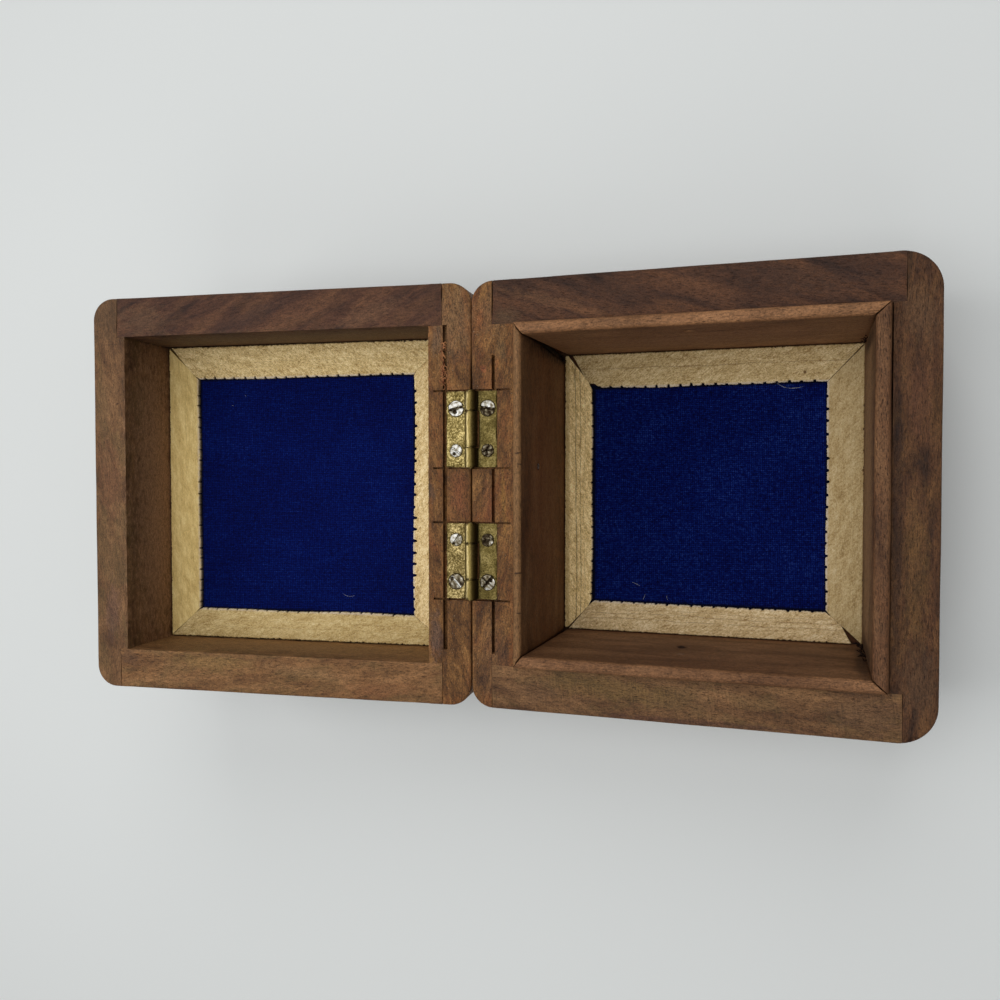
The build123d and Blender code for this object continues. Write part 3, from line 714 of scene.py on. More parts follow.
lint = {
    "base": fibres("lint_on_base_cloth", "base", white_lint.material, lying(-39.86, [
        (((31.0, -24.0, 0), (32.2, -24.3, 0.3), (33.2, -25.0, 0)), 14),
        (((34.6, -27.0, 0), (34.4, -27.8, 0.3), (34.0, -28.7, 0)), 14),
        (((40.4, -27.3, 0), (40.2, -28.0, 0.2), (40.7, -28.4, 0)), 14),
        (((68.0, 28.3, 0.2), (70.2, 25.9, 0), (74.8, 27.2, 0.1)), 24),
    ]), 0.11),
    "lid": fibres("lint_on_lid_cloth", "lid", white_lint.material, lying(-21.44, [
        (((-41.6, -27.5, 0), (-39.9, -28.6, 0), (-38.1, -27.8, 0)), 20),
        (((-74.2, 24.0, 0), (-74.0, 24.2, 0.1), (-73.7, 24.1, 0)), 14),
        (((-70.3, 27.0, 0), (-70.0, 26.8, 0.1), (-69.9, 26.5, 0)), 14),
    ]), 0.07),
}
cloths = (("base", "base_bottom_board", 11, 0.68), ("lid", "lid_top_board", 12, 0.5))
for half, board, seed, nap_share in cloths:
    solid = f"{half}_floor_cloth"
    low, high = level_box(solid)
    count = 110
    rows, columns = np.linspace(low.x, high.x, count), np.linspace(low.y, high.y, count)
    x, y = np.meshgrid(rows, columns, indexing="ij")
    spot = np.stack([x, y], -1)
    rise = 0.05 * unevenness(spot, 15, seed) + 0.018 * unevenness(spot, 4, 13)
    z = (low.z + high.z) / 2 + rise.clip(-0.08, 0.08) * MM
    sheet = make_piece(f"{half}_cotton_floor", np.stack([x, y, z], -1), grid_faces(count, count),
                       cotton(f"blue_cotton_{half}", half, nap_share), [solid])
    cloth_body = sheet.modifiers.new("thickness", "SOLIDIFY")
    cloth_body.thickness = 0.42 * MM
    cloth_body.offset = 0

# Border strips
# Four rough-sawn strips of pale softwood frame each cloth, mitred at the corners by eye and glued down. The
# saw left ragged edges and a nick every few millimetres where it touched the edge towards the cloth.
def softwood(name, on_lid, runs, tone, yellow, lines, marks_turn, coarse=1, spots=(), edge=1.0):
    """Pale wood whose points carry their millimetres in from the outer edge (across) and from the inner edge
    (inward). Brown grain lines, given by their distance from the outer edge, their width and their strength,
    follow the strip. Its frayed inner edge is paler, by the share called edge. Painted shade darkens the foot
    of that edge, where it meets the cloth, and dirt and painted shade darken the outer edge beside the wall."""
    wood = Finish(name, on_lid)
    lay = 90 if runs == "y" else 0
    across = wood.add("Attribute", {}, attribute_name="across").outputs["Fac"]
    inward = wood.add("Attribute", {}, attribute_name="inward").outputs["Fac"]
    fibre = wood.noise((3.4, 0.22, 0.22), lay, detail=3, rough=0.6, twist=0.2)
    blot = wood.noise((5, 1.6, 1.6), lay + marks_turn * 0.3, (2, 4, 1), detail=3, rough=0.6)
    grit = wood.noise((0.8, 0.5, 0.5), lay + marks_turn * 0.5, detail=3, rough=0.8, twist=0.9)
    sawn = wood.noise((3.2, 0.36, 0.36), lay + marks_turn, (5, 1, 0), detail=2, rough=0.6)
    crumb = wood.noise((0.34, 0.27, 0.27), lay + 30, (6, 6, 2), detail=2, rough=0.8)
    value = wood.plus(wood.span(blot, 0.3, 0.7, 0.36, 0.66), wood.span(fibre, 0.3, 0.7, -0.1, 0.1))
    fine = wood.plus(wood.span(sawn, 0.3, 0.7, -0.12, 0.12), wood.span(grit, 0.3, 0.7, -0.3, 0.3))
    fine = wood.plus(fine, wood.span(crumb, 0.3, 0.7, -0.24, 0.24))
    value = wood.sums("MULTIPLY_ADD", fine, coarse, value)
    brown, fair, cream = [paint(red * tone, green * tone, blue * tone * (1 - yellow))
                          for red, green, blue in ((150, 119, 72), (212, 183, 131), (248, 227, 182))]
    colour = wood.ramp(value, (0.08, brown), (0.5, fair), (0.92, cream))
    wobble = wood.noise((16, 3, 3), lay, (8, 2, 5), detail=2, rough=0.5)
    broken = wood.noise((4, 4, 4), lay, (1, 7, 5), detail=2, rough=0.5)
    for at, width, strength in lines:
        off = wood.sums("SUBTRACT", wood.plus(across, wood.span(wobble, 0.3, 0.7, -0.35, 0.35)), at)
        share = wood.span(wood.sums("ABSOLUTE", off), 0.0, width, strength * 0.6, 0.0, smooth=True)
        share = wood.times(share, wood.span(broken, 0.36, 0.5, 0.25, 1.0))
        colour = wood.mix(share, colour, paint(112, 82, 46))
    dashes = wood.noise((1.3, 0.16, 0.16), lay + marks_turn * 0.8, (4, 4, 1), detail=2, rough=0.6)
    colour = wood.mix(wood.span(dashes, 0.60, 0.70, 0.0, 0.35 * coarse), colour, paint(120, 92, 56))
    flecks = wood.noise((0.5, 0.2, 0.2), lay + 20, (1, 4, 8), detail=2, rough=0.6)
    colour = wood.mix(wood.span(flecks, 0.58, 0.70, 0.0, 0.5 * coarse), colour, paint(240, 224, 190))
    pale = wood.span(inward, 0.15, 0.75, edge, 0.0, smooth=True)
    frayed = wood.noise((0.6, 0.3, 0.6), lay, (6, 2, 1), detail=2, rough=0.7)
    colour = wood.mix(wood.times(pale, wood.span(frayed, 0.3, 0.55)), colour, paint(206, 192, 174))
    # Painted shade: the lower part of the inner edge, next to the cloth, is taken towards a dark grey.
    foot = border_frame("lid" if on_lid else "base")[0][2]
    height = wood.axes(wood.place)[2]
    shaded_foot = wood.span(height, foot + 0.3 * MM, foot + 1.1 * MM, 0.8, 0.0, smooth=True)
    share = wood.times(wood.span(inward, 0.6, 0.9, 1.0, 0.0), shaded_foot)
    colour = wood.mix(share, colour, paint(44, 36, 40))
    # Dirt and painted shade: the strip darkens within 0.7 mm of its outer edge, beside the wall.
    dirt_and_shade = wood.span(across, 0.0, 0.7, 0.4, 0.0, smooth=True)
    colour = wood.mix(dirt_and_shade, colour, paint(138, 110, 68))
    for x, y, radius in spots:
        off = wood.vectors("SUBTRACT", wood.place, (x * MM, y * MM, 0))
        away = wood.vectors("LENGTH", wood.vectors("MULTIPLY", off, (1, 1, 0)))
        share = wood.span(away, radius * 0.4 * MM, radius * MM, 0.85, 0.0)
        colour = wood.mix(share, colour, paint(84, 52, 28))
    relief = wood.plus(wood.times(fibre, 0.8), wood.times(grit, 0.5))
    relief = wood.plus(relief, wood.times(sawn, 0.6))
    return wood.finish(Base_Color=colour, Roughness=0.86, Specular_IOR_Level=0.15,
                       Normal=wood.bump(relief, 0.05 + 0.12 * coarse))


def strip_piece(half, side, material, seed, gaps, lean, marks, ragged, notch=(3.05, 0.7, 0.55), corner_cut=0,
                deeper=(0, 0), wider=0, skew=(0, 0), apex=0.62):
    """A strip as a closed section carried along its length. Its top is a grid from the outer edge to the
    inner one. Its ends run along the mitres, short of them by two gaps each: one at the outer edge, and one
    from the apex, a share of the width, inwards. A wider strip's outer edge goes out past its CAD node's.
    Marks are slanted waves with sharp valleys, given by their turn, pitch and depth, that lower the top, as
    random unevenness does. Both edges wander by the raggedness. Notches, given by their pitch, width and
    depth, and deeper within one stretch, press the last 1.4 mm of the inner edge back towards the outer one,
    and so do the skew at the two ends and a corner cut. The lean moves that edge along the strip."""
    outer_low, outer_high, inner_low, inner_high = border_frame(half)
    along_axis = 1 if side in ("back", "front") else 0
    across_axis = 1 - along_axis
    at_low = {"back": half == "base", "front": half == "lid", "right": False, "left": True}[side]
    outer = (outer_low if at_low else outer_high)[across_axis]
    inner = (inner_low if at_low else inner_high)[across_axis]
    width = abs(inner - outer)
    cell_mm, row_mm, soft_mm, ease_mm, deep_nick = 0.24, 0.15, 0.12, 0.22, 1.0 * MM
    cells = int(width / (cell_mm * MM))
    by_edge, first_cell = np.array([0, 0.05, 0.14]), 0.28
    in_mm = np.concatenate([by_edge - wider, np.linspace(first_cell - wider, width / MM - first_cell, cells),
                            width / MM - by_edge[::-1]])
    in_mm = np.concatenate([in_mm, in_mm[[-1, -1, 0, 0]]])
    level = np.concatenate([np.ones(len(in_mm) - 4), [0.5, 0, 0, 0.5]])
    share = (in_mm * MM / width).clip(0)
    start = outer_low[along_axis] * (1 - share) + inner_low[along_axis] * share
    end = outer_high[along_axis] * (1 - share) + inner_high[along_axis] * share
    opening = np.clip(1 - share / apex, 0, 1)
    start_gap, end_gap = gaps
    start = start + MM * (start_gap[1] + (start_gap[0] - start_gap[1]) * opening)
    end = end - MM * (end_gap[1] + (end_gap[0] - end_gap[1]) * opening)
    rows = int((outer_high[along_axis] - outer_low[along_axis]) / (row_mm * MM))
    step = np.linspace(0, 1, rows)[:, None]
    along = start * (1 - step) + end * step
    inside = in_mm[None, :] * MM + 0 * along
    pitch, width_mm, depth_mm = notch
    chance = np.random.default_rng(seed)
    first, last = inner_low[along_axis], inner_high[along_axis]
    count = int((last - first) / (pitch * MM))
    places = first + (np.arange(count) + 0.5 + chance.uniform(-0.06, 0.06, count)) * pitch * MM
    depths = depth_mm * chance.uniform(0.5, 1.3, count) * MM
    depths = np.where((places > deeper[0] * MM) & (places < deeper[1] * MM), deep_nick, depths)
    near = np.abs(along[:, :, None] - places).argmin(-1)
    off = np.abs(along - places[near])
    nick = depths[near] * np.clip((width_mm * 0.5 * MM - off) / (soft_mm * MM) + 0.5, 0, 1)
    reach = 1.4 * MM
    press = np.clip((inside - (width - reach)) / reach, 0, 1)
    run = along[..., None]
    frill = ragged * MM * (0.6 * unevenness(run, 0.9, seed + 1) + 0.5 * unevenness(run, 3.1, seed + 2))
    fray = ragged * MM * (0.6 * unevenness(run, 0.7, seed + 3) + 0.4 * unevenness(run, 2.2, seed + 4))
    near_outer = np.clip(1 - (inside + wider * MM) / (0.9 * MM), 0, 1)
    slow = 0.16 * MM * unevenness(run, 34, seed + 8)
    slanted = MM * (skew[0] * (1 - step) + skew[1] * step)
    moved = inside - press * (nick + np.abs(fray) + slow + slanted)
    moved = moved + near_outer * (1.7 * np.abs(frill) + 0.05 * MM)
    if corner_cut:
        in_corner = np.clip(1 - (along - inner_low[along_axis]) / (corner_cut * MM), 0, 1)
        moved = moved - press * in_corner ** 1.5 * 1.3 * MM
    along = along + lean * press ** 2 * MM
    mark_turn, mark_pitch, mark_depth = marks
    phase = (along * math.cos(mark_turn) + inside * math.sin(mark_turn)) / (mark_pitch * MM)
    flat = np.stack([along, inside], -1)
    phase = phase + 0.22 * unevenness(flat, 6, seed + 5)
    groove = (1 - np.abs(np.sin(phase * math.pi))) ** 2
    lowered = mark_depth * groove + 0.03 * (1 + unevenness(flat, 1.3, seed + 6))
    lowered = lowered + 0.03 * (1 + unevenness(flat, 5, seed + 7))
    eased = [np.clip(1 - away / (ease_mm * MM), 0, 1) ** 2 for away in (inside + wider * MM, width - inside)]
    low_z, high_z = outer_low[2], outer_high[2]
    thick = high_z - low_z - (lowered.clip(0, 0.4) + 0.16 * (eased[0] + eased[1])) * MM
    points = np.zeros(along.shape + (3,))
    points[..., along_axis] = along
    points[..., across_axis] = outer + moved * (1 if inner > outer else -1)
    points[..., 2] = low_z + thick * level
    columns = len(in_mm)
    faces = grid_faces(rows, columns, closed=True)
    ends = [list(range(columns)), list(range((rows - 1) * columns, rows * columns))]
    mirrored = (along_axis == 1) == (inner > outer)
    if mirrored:
        faces = faces[:, ::-1]
    ends[1 if mirrored else 0].reverse()
    made = make_piece(f"{half}_{side}_softwood_strip", points, faces.tolist() + ends, material,
                      [f"{half}_{side}_border"])
    for label, value in (("across", moved), ("inward", width - moved)):
        carry(made, label, value / MM)


strip_looks = {
    ("base", "back"): (
        dict(tone=1.11, yellow=0.04, lines=((2.2, 0.26, 1.25), (3.4, 0.22, 1.05), (4.6, 0.2, 0.5)),
             marks_turn=35),
        dict(gaps=((0.5, 0.05), (0.15, 0.03)), lean=0.1, marks=(0.9, 1.5, 0.03), ragged=0.14, wider=0.95,
             notch=(3.05, 0.5, 0.4), skew=(0.4, 0.4)),
    ),
    ("base", "front"): (
        dict(tone=0.875, yellow=0.01, coarse=0.7, lines=((6.2, 0.12, 0.3),), marks_turn=-50,
             spots=((88.7, 6.0, 0.5),)),
        dict(gaps=((0.1, 0.03), (0.3, 0.15)), lean=0.15, marks=(0.7, 2.2, 0.015), ragged=0.10),
    ),
    ("base", "right"): (
        dict(tone=0.93, yellow=0.02, coarse=1.1, lines=((4.0, 0.22, 0.8),), marks_turn=40,
             spots=((74.8, 30.6, 0.5),)),
        dict(gaps=((1.3, 0.03), (0.2, 0.05)), lean=0.12, marks=(0.8, 1.8, 0.03), ragged=0.16, corner_cut=1.8),
    ),
    ("base", "left"): (
        dict(tone=0.98, yellow=-0.02, lines=((3.4, 0.2, 0.85), (4.8, 0.2, 0.9), (5.9, 0.16, 0.7)),
             marks_turn=28),
        dict(gaps=((0.3, 0.05), (2.6, 0.05)), lean=0.2, marks=(1.0, 1.6, 0.04), ragged=0.17,
             notch=(3.05, 0.6, 0.42), skew=(0, 0.4), apex=0.56),
    ),
    ("lid", "back"): (
        dict(tone=1.05, yellow=0.02, lines=((5.0, 0.2, 0.25),), marks_turn=-40),
        dict(gaps=((0.1, 0.05), (0.1, 0.05)), lean=-0.1, marks=(0.8, 2.0, 0.02), ragged=0.12,
             deeper=(-22, -5), skew=(0, 0.6)),
    ),
    ("lid", "front"): (
        dict(tone=1.0, yellow=0.1, coarse=0.35, lines=((3.0, 0.16, 0.3), (5.2, 0.16, 0.25)), marks_turn=30,
             edge=0.6),
        dict(gaps=((0.15, 0.03), (0.2, 0.03)), lean=0.15, marks=(0.9, 2.4, 0.02), ragged=0.13,
             notch=(3.05, 0.4, 0.3)),
    ),
    ("lid", "right"): (
        dict(tone=1.0, yellow=0.04, coarse=1.1, lines=((4.6, 0.16, 0.4),), marks_turn=-42),
        dict(gaps=((0.8, 0.03), (0.1, 0.03)), lean=0.35, marks=(0.75, 2.6, 0.09), ragged=0.2),
    ),
    ("lid", "left"): (
        dict(tone=0.92, yellow=0.06, coarse=0.8, lines=((3.2, 0.2, 0.4), (5.0, 0.18, 0.4)), marks_turn=25,
             edge=0.7),
        dict(gaps=((0.15, 0.05), (0.1, 0.05)), lean=0.5, marks=(1.0, 1.9, 0.05), ragged=0.18,
             notch=(3.05, 0.5, 0.4)),
    ),
}
for number, ((half, side), (look, form)) in enumerate(strip_looks.items()):
    runs = "y" if side in ("back", "front") else "x"
    wood = softwood(f"pale_softwood_{half}_{side}", half == "lid", runs, **look)
    strip_piece(half, side, wood, seed=40 + number * 10, **form)

# Torn fibres
# The saw and the chisel left splinters in the corners beside the base's front liner, and curled fibres along
# the saw kerf in the lid's hinge rail. They are the rails' own wood.
def curls(chance, count, middle, spread, radius_mm):
    """Open rings of random size and turn, scattered about a middle: points of part of a circle that rises."""
    made, steps = [], 16
    for _ in range(count):
        centre = np.array(middle) + chance.uniform(-1, 1, 3) * np.array(spread)
        turn = chance.uniform(0, math.tau) + np.linspace(0, chance.uniform(2.4, 5.4), steps)
        radius = radius_mm * chance.uniform(0.5, 1.2)
        rise = np.linspace(0, chance.uniform(0.04, 0.14), steps)
        made.append(centre + np.stack([radius * 0.7 * np.cos(turn), radius * np.sin(turn), rise], -1))
    return made


def splinters(chance, count, low, high, lean):
    """Slightly bent needles whose feet lie between two places and that all lean one way, more or less."""
    feet = np.array(low) + chance.uniform(0, 1, (count, 1)) * (np.array(high) - np.array(low))
    feet = feet + chance.normal(0, 0.25, (count, 3))
    tips = feet + np.array(lean) * chance.uniform(0.4, 1.3, (count, 1)) + chance.normal(0, 0.35, (count, 3))
    bends = (feet + tips) / 2 + chance.normal(0, 0.2, (count, 3))
    return [bow(*three, 9) for three in zip(feet, bends, tips)]


torn_looks = {
    "torn_fibres_in_lid_kerf": (
        "lid", (178, 122, 82), (96, 54, 34), 0.17,
        curls(np.random.default_rng(701), 44, (-6.9, 31.2, -0.17), (0.6, 5.6, 0.04), 0.6)),
    "splinters_in_front_corner": (
        "base", (52, 33, 22), (16, 10, 7), 0.34,
        splinters(np.random.default_rng(702), 30, (88.7, -37.3, -37.6), (88.9, -37.3, -14),
                  (-0.9, 0.7, 0.8))),
    "splinters_in_far_corner": (
        "base", (62, 40, 28), (22, 14, 9), 0.26,
        splinters(np.random.default_rng(703), 14, (88.7, 37.3, -37.6), (88.7, 37.3, -24), (-0.5, -0.4, 0.5))),
}
for name, (half, light, dark, thick_mm, paths) in torn_looks.items():
    torn_wood = Finish(name, half == "lid")
    shade = torn_wood.noise((0.8, 0.8, 0.8), detail=2)
    browns = torn_wood.ramp(shade, (0.36, paint(*dark)), (0.64, paint(*light)))
    torn_wood.finish(Base_Color=browns, Roughness=0.8, Specular_IOR_Level=0.2,
                     Normal=torn_wood.bump(shade, 0.03))
    fibres(name, half, torn_wood.material, paths, thick_mm)

# Hinges
# Two small brass butt hinges, each two stamped leaves whose knuckles turn on a pin. The brass is unpolished
# and has dulled to olive, most of all on the base's leaves.
def dull_brass(name, dark, fair, bright, on_lid, speckle=0.5):
    """Clouds and specks between three shades. The barrel carries a painted highlight along one line and
    painted shade beyond it.
    """
    brass = Finish(name, on_lid)
    cloud = brass.noise((3.5, 3.5, 3.5), detail=3, rough=0.6, twist=0.3)
    grain = brass.noise((0.42, 0.42, 0.42), 30, (1, 1, 1), detail=3, rough=0.8)
    value = brass.span(cloud, 0.35, 0.65, 0.0, 1 - speckle)
    value = brass.plus(value, brass.span(grain, 0.32, 0.68, 0.0, speckle))
    colour = brass.ramp(value, (0.15, paint(*dark)), (0.5, paint(*fair)), (0.9, paint(*bright)))
    pits = brass.noise((0.3, 0.3, 0.3), 0, (3, 1, 2), detail=1)
    spot = brass.span(pits, 0.66, 0.72, 0.0, 0.6)
    colour = brass.mix(spot, colour, paint(64, 52, 30))
    across = brass.axes(brass.place)[0]
    wavy = brass.plus(across, brass.span(cloud, 0.3, 0.7, -0.25 * MM, 0.25 * MM))
    radius = 1.6 * MM
    barrel = brass.span(brass.sums("ABSOLUTE", across), radius, 1.75 * MM, 1.0, 0.0)
    # Painted highlight along one line of the barrel and painted shade beyond it, following X across the
    # barrel.
    barrel_highlight_and_shade = brass.ramp(brass.span(wavy, -radius, radius), (0.0, paint(92, 80, 44)),
                        (0.2, paint(140, 124, 74)), (0.33, paint(216, 196, 140)), (0.46, paint(136, 118, 70)),
                        (0.72, paint(76, 63, 34)), (1.0, paint(52, 41, 24)))
    colour = brass.mix(brass.times(barrel, 0.85), colour, barrel_highlight_and_shade)
    rough = brass.span(value, 0.2, 0.8, 0.56, 0.36)
    return brass.finish(Base_Color=colour, Metallic=1.0, Roughness=rough,
                        Normal=brass.bump(brass.sums("SUBTRACT", grain, spot), 0.07))


brass_looks = {
    "lid_leaf": dict(dark=(77, 65, 34), fair=(121, 106, 64), bright=(194, 175, 120), speckle=0.75),
    "left_lid_leaf": dict(dark=(74, 62, 36), fair=(114, 99, 61), bright=(188, 168, 118), speckle=0.75),
    "base_leaf": dict(dark=(76, 66, 38), fair=(99, 87, 51), bright=(130, 116, 76), speckle=0.6),
    "pin": dict(dark=(84, 74, 44), fair=(140, 126, 84), bright=(190, 175, 130)),
}
for number, node in enumerate(("lid_leaf", "base_leaf", "pin")):
    for place, side in enumerate(("right", "left")):
        part = f"{side}_{node}" if f"{side}_{node}" in brass_looks else node
        brass = dull_brass("dull_brass_" + part, on_lid=node == "lid_leaf", **brass_looks[part])
        rubbed(f"{side}_hinge_{node}", f"brass_{side}_hinge_{node}", brass, (0.6, 0.6, 0.6),
               blunt=0.035, nick=0.05, wave=0.02, beside=0.06, seed=400 + 20 * number + 10 * place)

# Hinge screws
# Slotted countersunk steel screws, plated and battered by the driver, with dirt where it rubbed the plating
# away, and painted shade round the heads' rims, in their slots and pits and beyond a side line. Large ones
# sit at the hinges' outer ends and small ones nearer to the box's middle.
def plated_steel(name, on_lid):
    """Bright metal that darkens where the points carry dirt and painted shade, and a little wherever noise is
    high.
    """
    steel = Finish(name, on_lid)
    dirt_and_shade = steel.add("Attribute", {}, attribute_name="dirt_and_shade").outputs["Fac"]
    blot = steel.noise((0.7, 0.7, 0.7), detail=3, rough=0.65)
    scuff = steel.noise((1.6, 0.12, 0.12), 40, (2, 2, 2), detail=2, rough=0.6)
    dirt = steel.plus(dirt_and_shade, steel.span(blot, 0.45, 0.7, -0.1, 0.35))
    dirt = steel.plus(dirt, steel.span(scuff, 0.55, 0.7, 0.0, 0.25))
    colour = steel.ramp(dirt, (0.0, paint(184, 183, 179)), (0.3, paint(152, 147, 134)),
                        (0.62, paint(108, 98, 78)), (1.0, paint(46, 37, 28)))
    rough = steel.span(dirt, 0.0, 1.0, 0.34, 0.62)
    return steel.finish(Base_Color=colour, Metallic=1.0, Roughness=rough, Normal=steel.bump(scuff, 0.02))


def hinge_screws(node, name, looks):
    """Turned surfaces. A head's height over radius and angle is a low dome, minus slots with soft walls, each
    given by its turn, width and depth, minus round pits, each given by its place, width and depth. Below it
    come the rim, the cone, the shank and the point. Darkness is high in the slots and the pits, round the rim
    and beyond side lines, each given by its turn, its distance from the middle and its share. The ring round
    the rim and the dark in the slots and pits are painted shade, beyond the side lines it is dirt and painted
    shade, and a low patchy darkness everywhere is dirt."""
    material = plated_steel("plated_steel_" + name, node.startswith("lid"))
    places = level_points(node)
    around = 112
    angle = np.linspace(0, math.tau, around, endpoint=False)
    grids, dirt_and_shade_values, faces, start = [], [], [], 0
    for sign, look in zip((1, -1), looks):
        own = places[places[:, 1] * sign > 0]
        low, high = own.min(0), own.max(0)
        middle, radius = (low + high)[:2] / 2, (high - low)[0] / 2
        length = high[2] - low[2]
        head, rim_and_shank = np.linspace(0.02, 0.96, 26), [0.985, 1.0, 1.0, 0.55, 0.48, 0.44, 0.02]
        rings = np.concatenate([head, rim_and_shank]) * radius
        rim, cone, neck, point = 0.2 * MM, radius * 0.55, 0.25 * MM + radius * 0.6, 1.5 * MM
        lower = [0.03 * MM, 0.08 * MM, rim, rim + cone, neck, length - point, length]
        drops = np.concatenate([0 * head, lower])
        x, y = rings[:, None] * np.cos(angle), rings[:, None] * np.sin(angle)
        flat = np.stack([x, y], -1)
        drop = drops[:, None] + 0 * x
        dirt_and_shade = look.get("dull", 0.12) + 0.2 * unevenness(flat + middle, 1.1, look["seed"])
        on_head = (np.arange(len(rings)) <= len(head))[:, None]
        drop = drop + on_head * 0.10 * MM * (rings[:, None] / radius) ** 2
        # Painted shade: a dark ring round the rim of the head.
        dirt_and_shade = dirt_and_shade + np.clip((rings[:, None] / radius - 0.9) / 0.07, 0, 1) * 0.75
        for turn, width, depth in look["slots"]:
            turn = math.radians(turn)
            off = np.abs(-x * math.sin(turn) + y * math.cos(turn)) / MM
            off = off + 0.05 * unevenness(flat + middle, 0.6, look["seed"] + 1)
            cut = np.clip((width / 2 - off) / 0.09 + 0.5, 0, 1)
            drop = drop + on_head * cut * depth * MM
            # Painted shade deepens each slot, beyond what its cut shows.
            dirt_and_shade = dirt_and_shade + on_head * cut * look.get("slot_dirt_and_shade", 0.6)
        for dx, dy, wide, depth in look.get("pits", ()):
            away = np.hypot(x / MM - dx, y / MM - dy) / wide
            drop = drop + on_head * np.exp(-away ** 4) * depth * MM
            # Painted shade in each pit.
            dirt_and_shade = dirt_and_shade + on_head * np.exp(-away ** 4) * 0.9
        for turn, beyond, share in look.get("sides", ()):
            turn = math.radians(turn)
            over = (x * math.cos(turn) + y * math.sin(turn)) / MM - beyond
            over = over + 0.12 * unevenness(flat + middle, 0.8, look["seed"] + 2)
            # Dirt and painted shade beyond each side line.
            dirt_and_shade = dirt_and_shade + np.clip(over / 0.25 + 0.5, 0, 1) * share
        rough = 0.02 * np.abs(unevenness(flat + middle, 0.5, look["seed"] + 3)) * on_head
        grid = np.stack([x + middle[0], y + middle[1], high[2] - drop - rough * MM], -1).reshape(-1, 3)
        faces += (grid_faces(len(rings), around, closed=True)[:, ::-1] + start).tolist()
        faces += [list(range(start, start + around)),
                  list(range(start + len(grid) - around, start + len(grid)))[::-1]]
        grids.append(grid)
        dirt_and_shade_values.append(dirt_and_shade.clip(-0.2, 1).ravel())
        start += len(grid)
    made = make_piece(name, np.concatenate(grids), faces, material, [node], sharp=60)
    carry(made, "dirt_and_shade", np.concatenate(dirt_and_shade_values))


hinge_screws("lid_large_hinge_screws", "large_screws_in_lid", [
    dict(seed=501, slots=((14, 0.5, 0.45),), slot_dirt_and_shade=0.75, pits=((-0.35, -0.75, 0.5, 0.35),)),
    dict(seed=511, slots=((-50, 0.3, 0.25),), slot_dirt_and_shade=-0.4, sides=((40, 0.25, 0.55), (220, 0.25, 0.5)),
         pits=((-1.1, 0.7, 0.4, 0.1),)),
])
hinge_screws("lid_small_hinge_screws", "small_screws_in_lid", [
    dict(seed=521, slots=((-35, 0.4, 0.3),), slot_dirt_and_shade=0.15, pits=((-0.45, -0.75, 0.35, 0.35),)),
    dict(seed=531, slots=((60, 0.45, 0.3),), slot_dirt_and_shade=0.35, sides=((-60, 0.1, 0.35),)),
])
hinge_screws("base_large_hinge_screws", "large_screws_in_base", [
    dict(seed=541, dull=0.22, slots=((-10, 0.5, 0.4),), slot_dirt_and_shade=0.7, sides=((-100, 0.1, 0.62),)),
    dict(seed=551, dull=0.26, slots=((48, 0.5, 0.4), (-40, 0.35, 0.2)), slot_dirt_and_shade=0.5,
         sides=((135, -0.5, 0.35),), pits=((0.9, 0.4, 0.3, 0.3),)),
])
hinge_screws("base_small_hinge_screws", "small_screws_in_base", [
    dict(seed=561, dull=0.36, slots=((70, 0.4, 0.25), (10, 0.3, 0.15)), slot_dirt_and_shade=0.3,
         sides=((180, -1.6, 0.4),)),
    dict(seed=571, dull=0.42, slots=((15, 0.4, 0.25),), slot_dirt_and_shade=0.25, sides=((180, -0.6, 0.5),)),
])

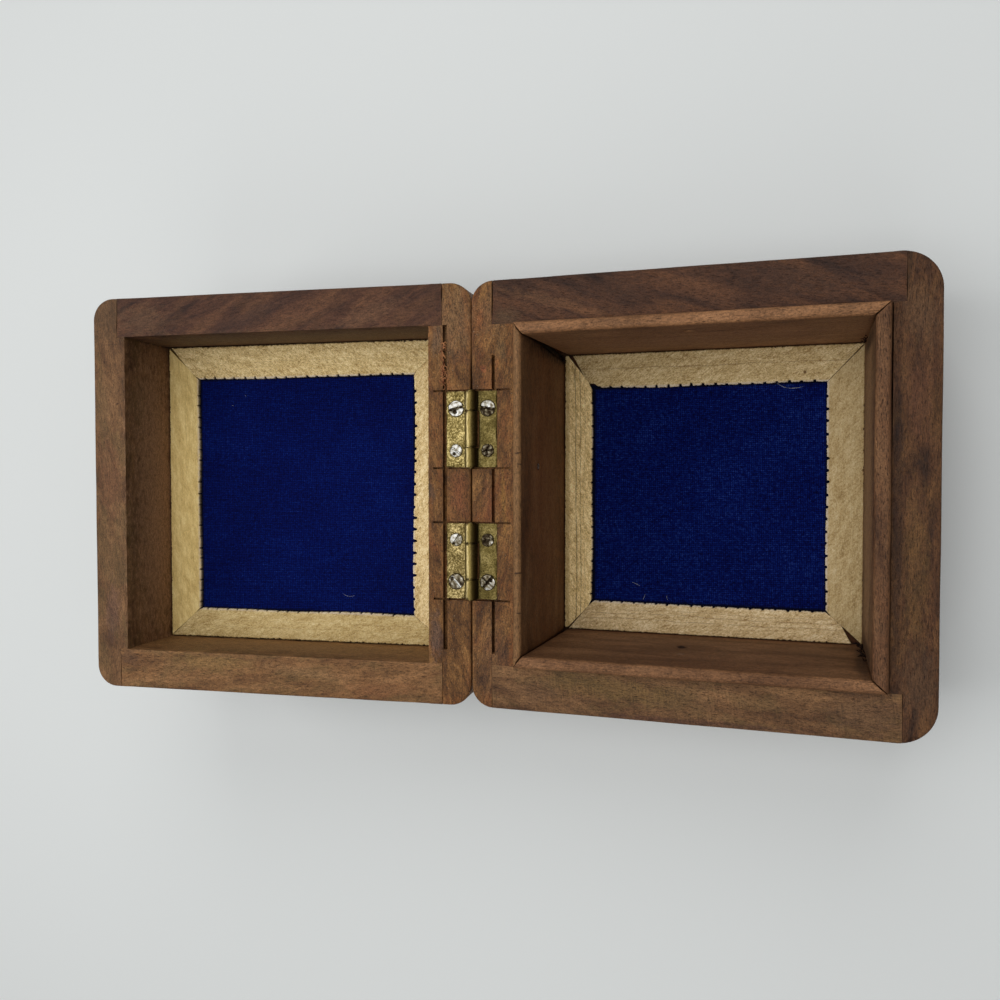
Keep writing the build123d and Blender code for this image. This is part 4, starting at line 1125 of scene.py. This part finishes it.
# Liner brads
# One bright steel wire brad holds each liner strip. Its small round head, battered by the hammer, sits in a
# gouge below the rim.
bright_wire = Finish("bright_wire")
scuffed = bright_wire.noise((0.5, 0.5, 0.5), detail=3, rough=0.6)
silver = bright_wire.ramp(scuffed, (0.4, paint(90, 86, 82)), (0.6, paint(210, 210, 208)))
bright_wire.finish(Base_Color=silver, Metallic=1.0, Roughness=bright_wire.span(scuffed, 0.4, 0.6, 0.5, 0.3),
                   Normal=bright_wire.bump(scuffed, 0.02))
rubbed("liner_brads", "bright_wire_brads", bright_wire.material, (0.4, 0.4, 0.4), blunt=0.04,
       nick=0.05, wave=0.02, beside=0.05, seed=600)

# Table top
# A plain pale painted board or sheet of card, far wider than the picture. The box stands on it, not fixed.
bpy.ops.mesh.primitive_plane_add(size=6)
table = bpy.context.object
table.name = "table_top"
pale = Finish("pale_table")
pale.finish(Base_Color=paint(221, 224, 223), Roughness=0.8, Specular_IOR_Level=0.2)
table.data.materials.append(pale.material)
table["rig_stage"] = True

# Light
# Soft round lamps hang over the table and stand round it, strongest overhead and from the left and the far
# side. The room adds a little even light.
world = bpy.context.scene.world or bpy.data.worlds.new("room")
bpy.context.scene.world = world
world.use_nodes = True
room = world.node_tree.nodes["Background"].inputs
room["Color"].default_value = (1, 1, 1, 1)
room["Strength"].default_value = 0.12
lamps = {
    "overhead": ((-0.05, 0.02, 0.72), 1.8),
    "left": ((-0.5, 0, 0.5), 1.5),
    "far_side": ((0, 0.5, 0.5), 1.3),
    "near_side": ((0, -0.5, 0.5), 0.6),
    "right": ((0.5, 0, 0.5), 0.3),
}
for name, (place, watts) in lamps.items():
    light = bpy.data.lights.new("lamp_" + name, "AREA")
    light.shape = "DISK"
    light.size = 0.5
    light.energy = watts
    lamp = bpy.data.objects.new("lamp_" + name, light)
    bpy.context.scene.collection.objects.link(lamp)
    lamp.location = place
    lamp.rotation_euler = (Vector((0, 0, 0.03)) - lamp.location).to_track_quat("-Z", "Y").to_euler()

# Camera
# A hand-held telephone's lens, about 25 cm above the table. It looks down, 19 degrees off the upright and
# towards the lid.
camera_data = bpy.data.cameras.new("camera")
camera_data.sensor_width = 36
camera_data.lens = 33.48
camera_data.clip_start = 0.01
camera = bpy.data.objects.new("camera", camera_data)
bpy.context.scene.collection.objects.link(camera)
camera.location = (0.028673, 0.0053696, 0.252547)
camera.rotation_euler = [math.radians(angle) for angle in (-1.68067, 19.28897, -0.03675)]
bpy.context.scene.camera = camera

bpy.context.scene.view_settings.view_transform = "Standard"

low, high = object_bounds()
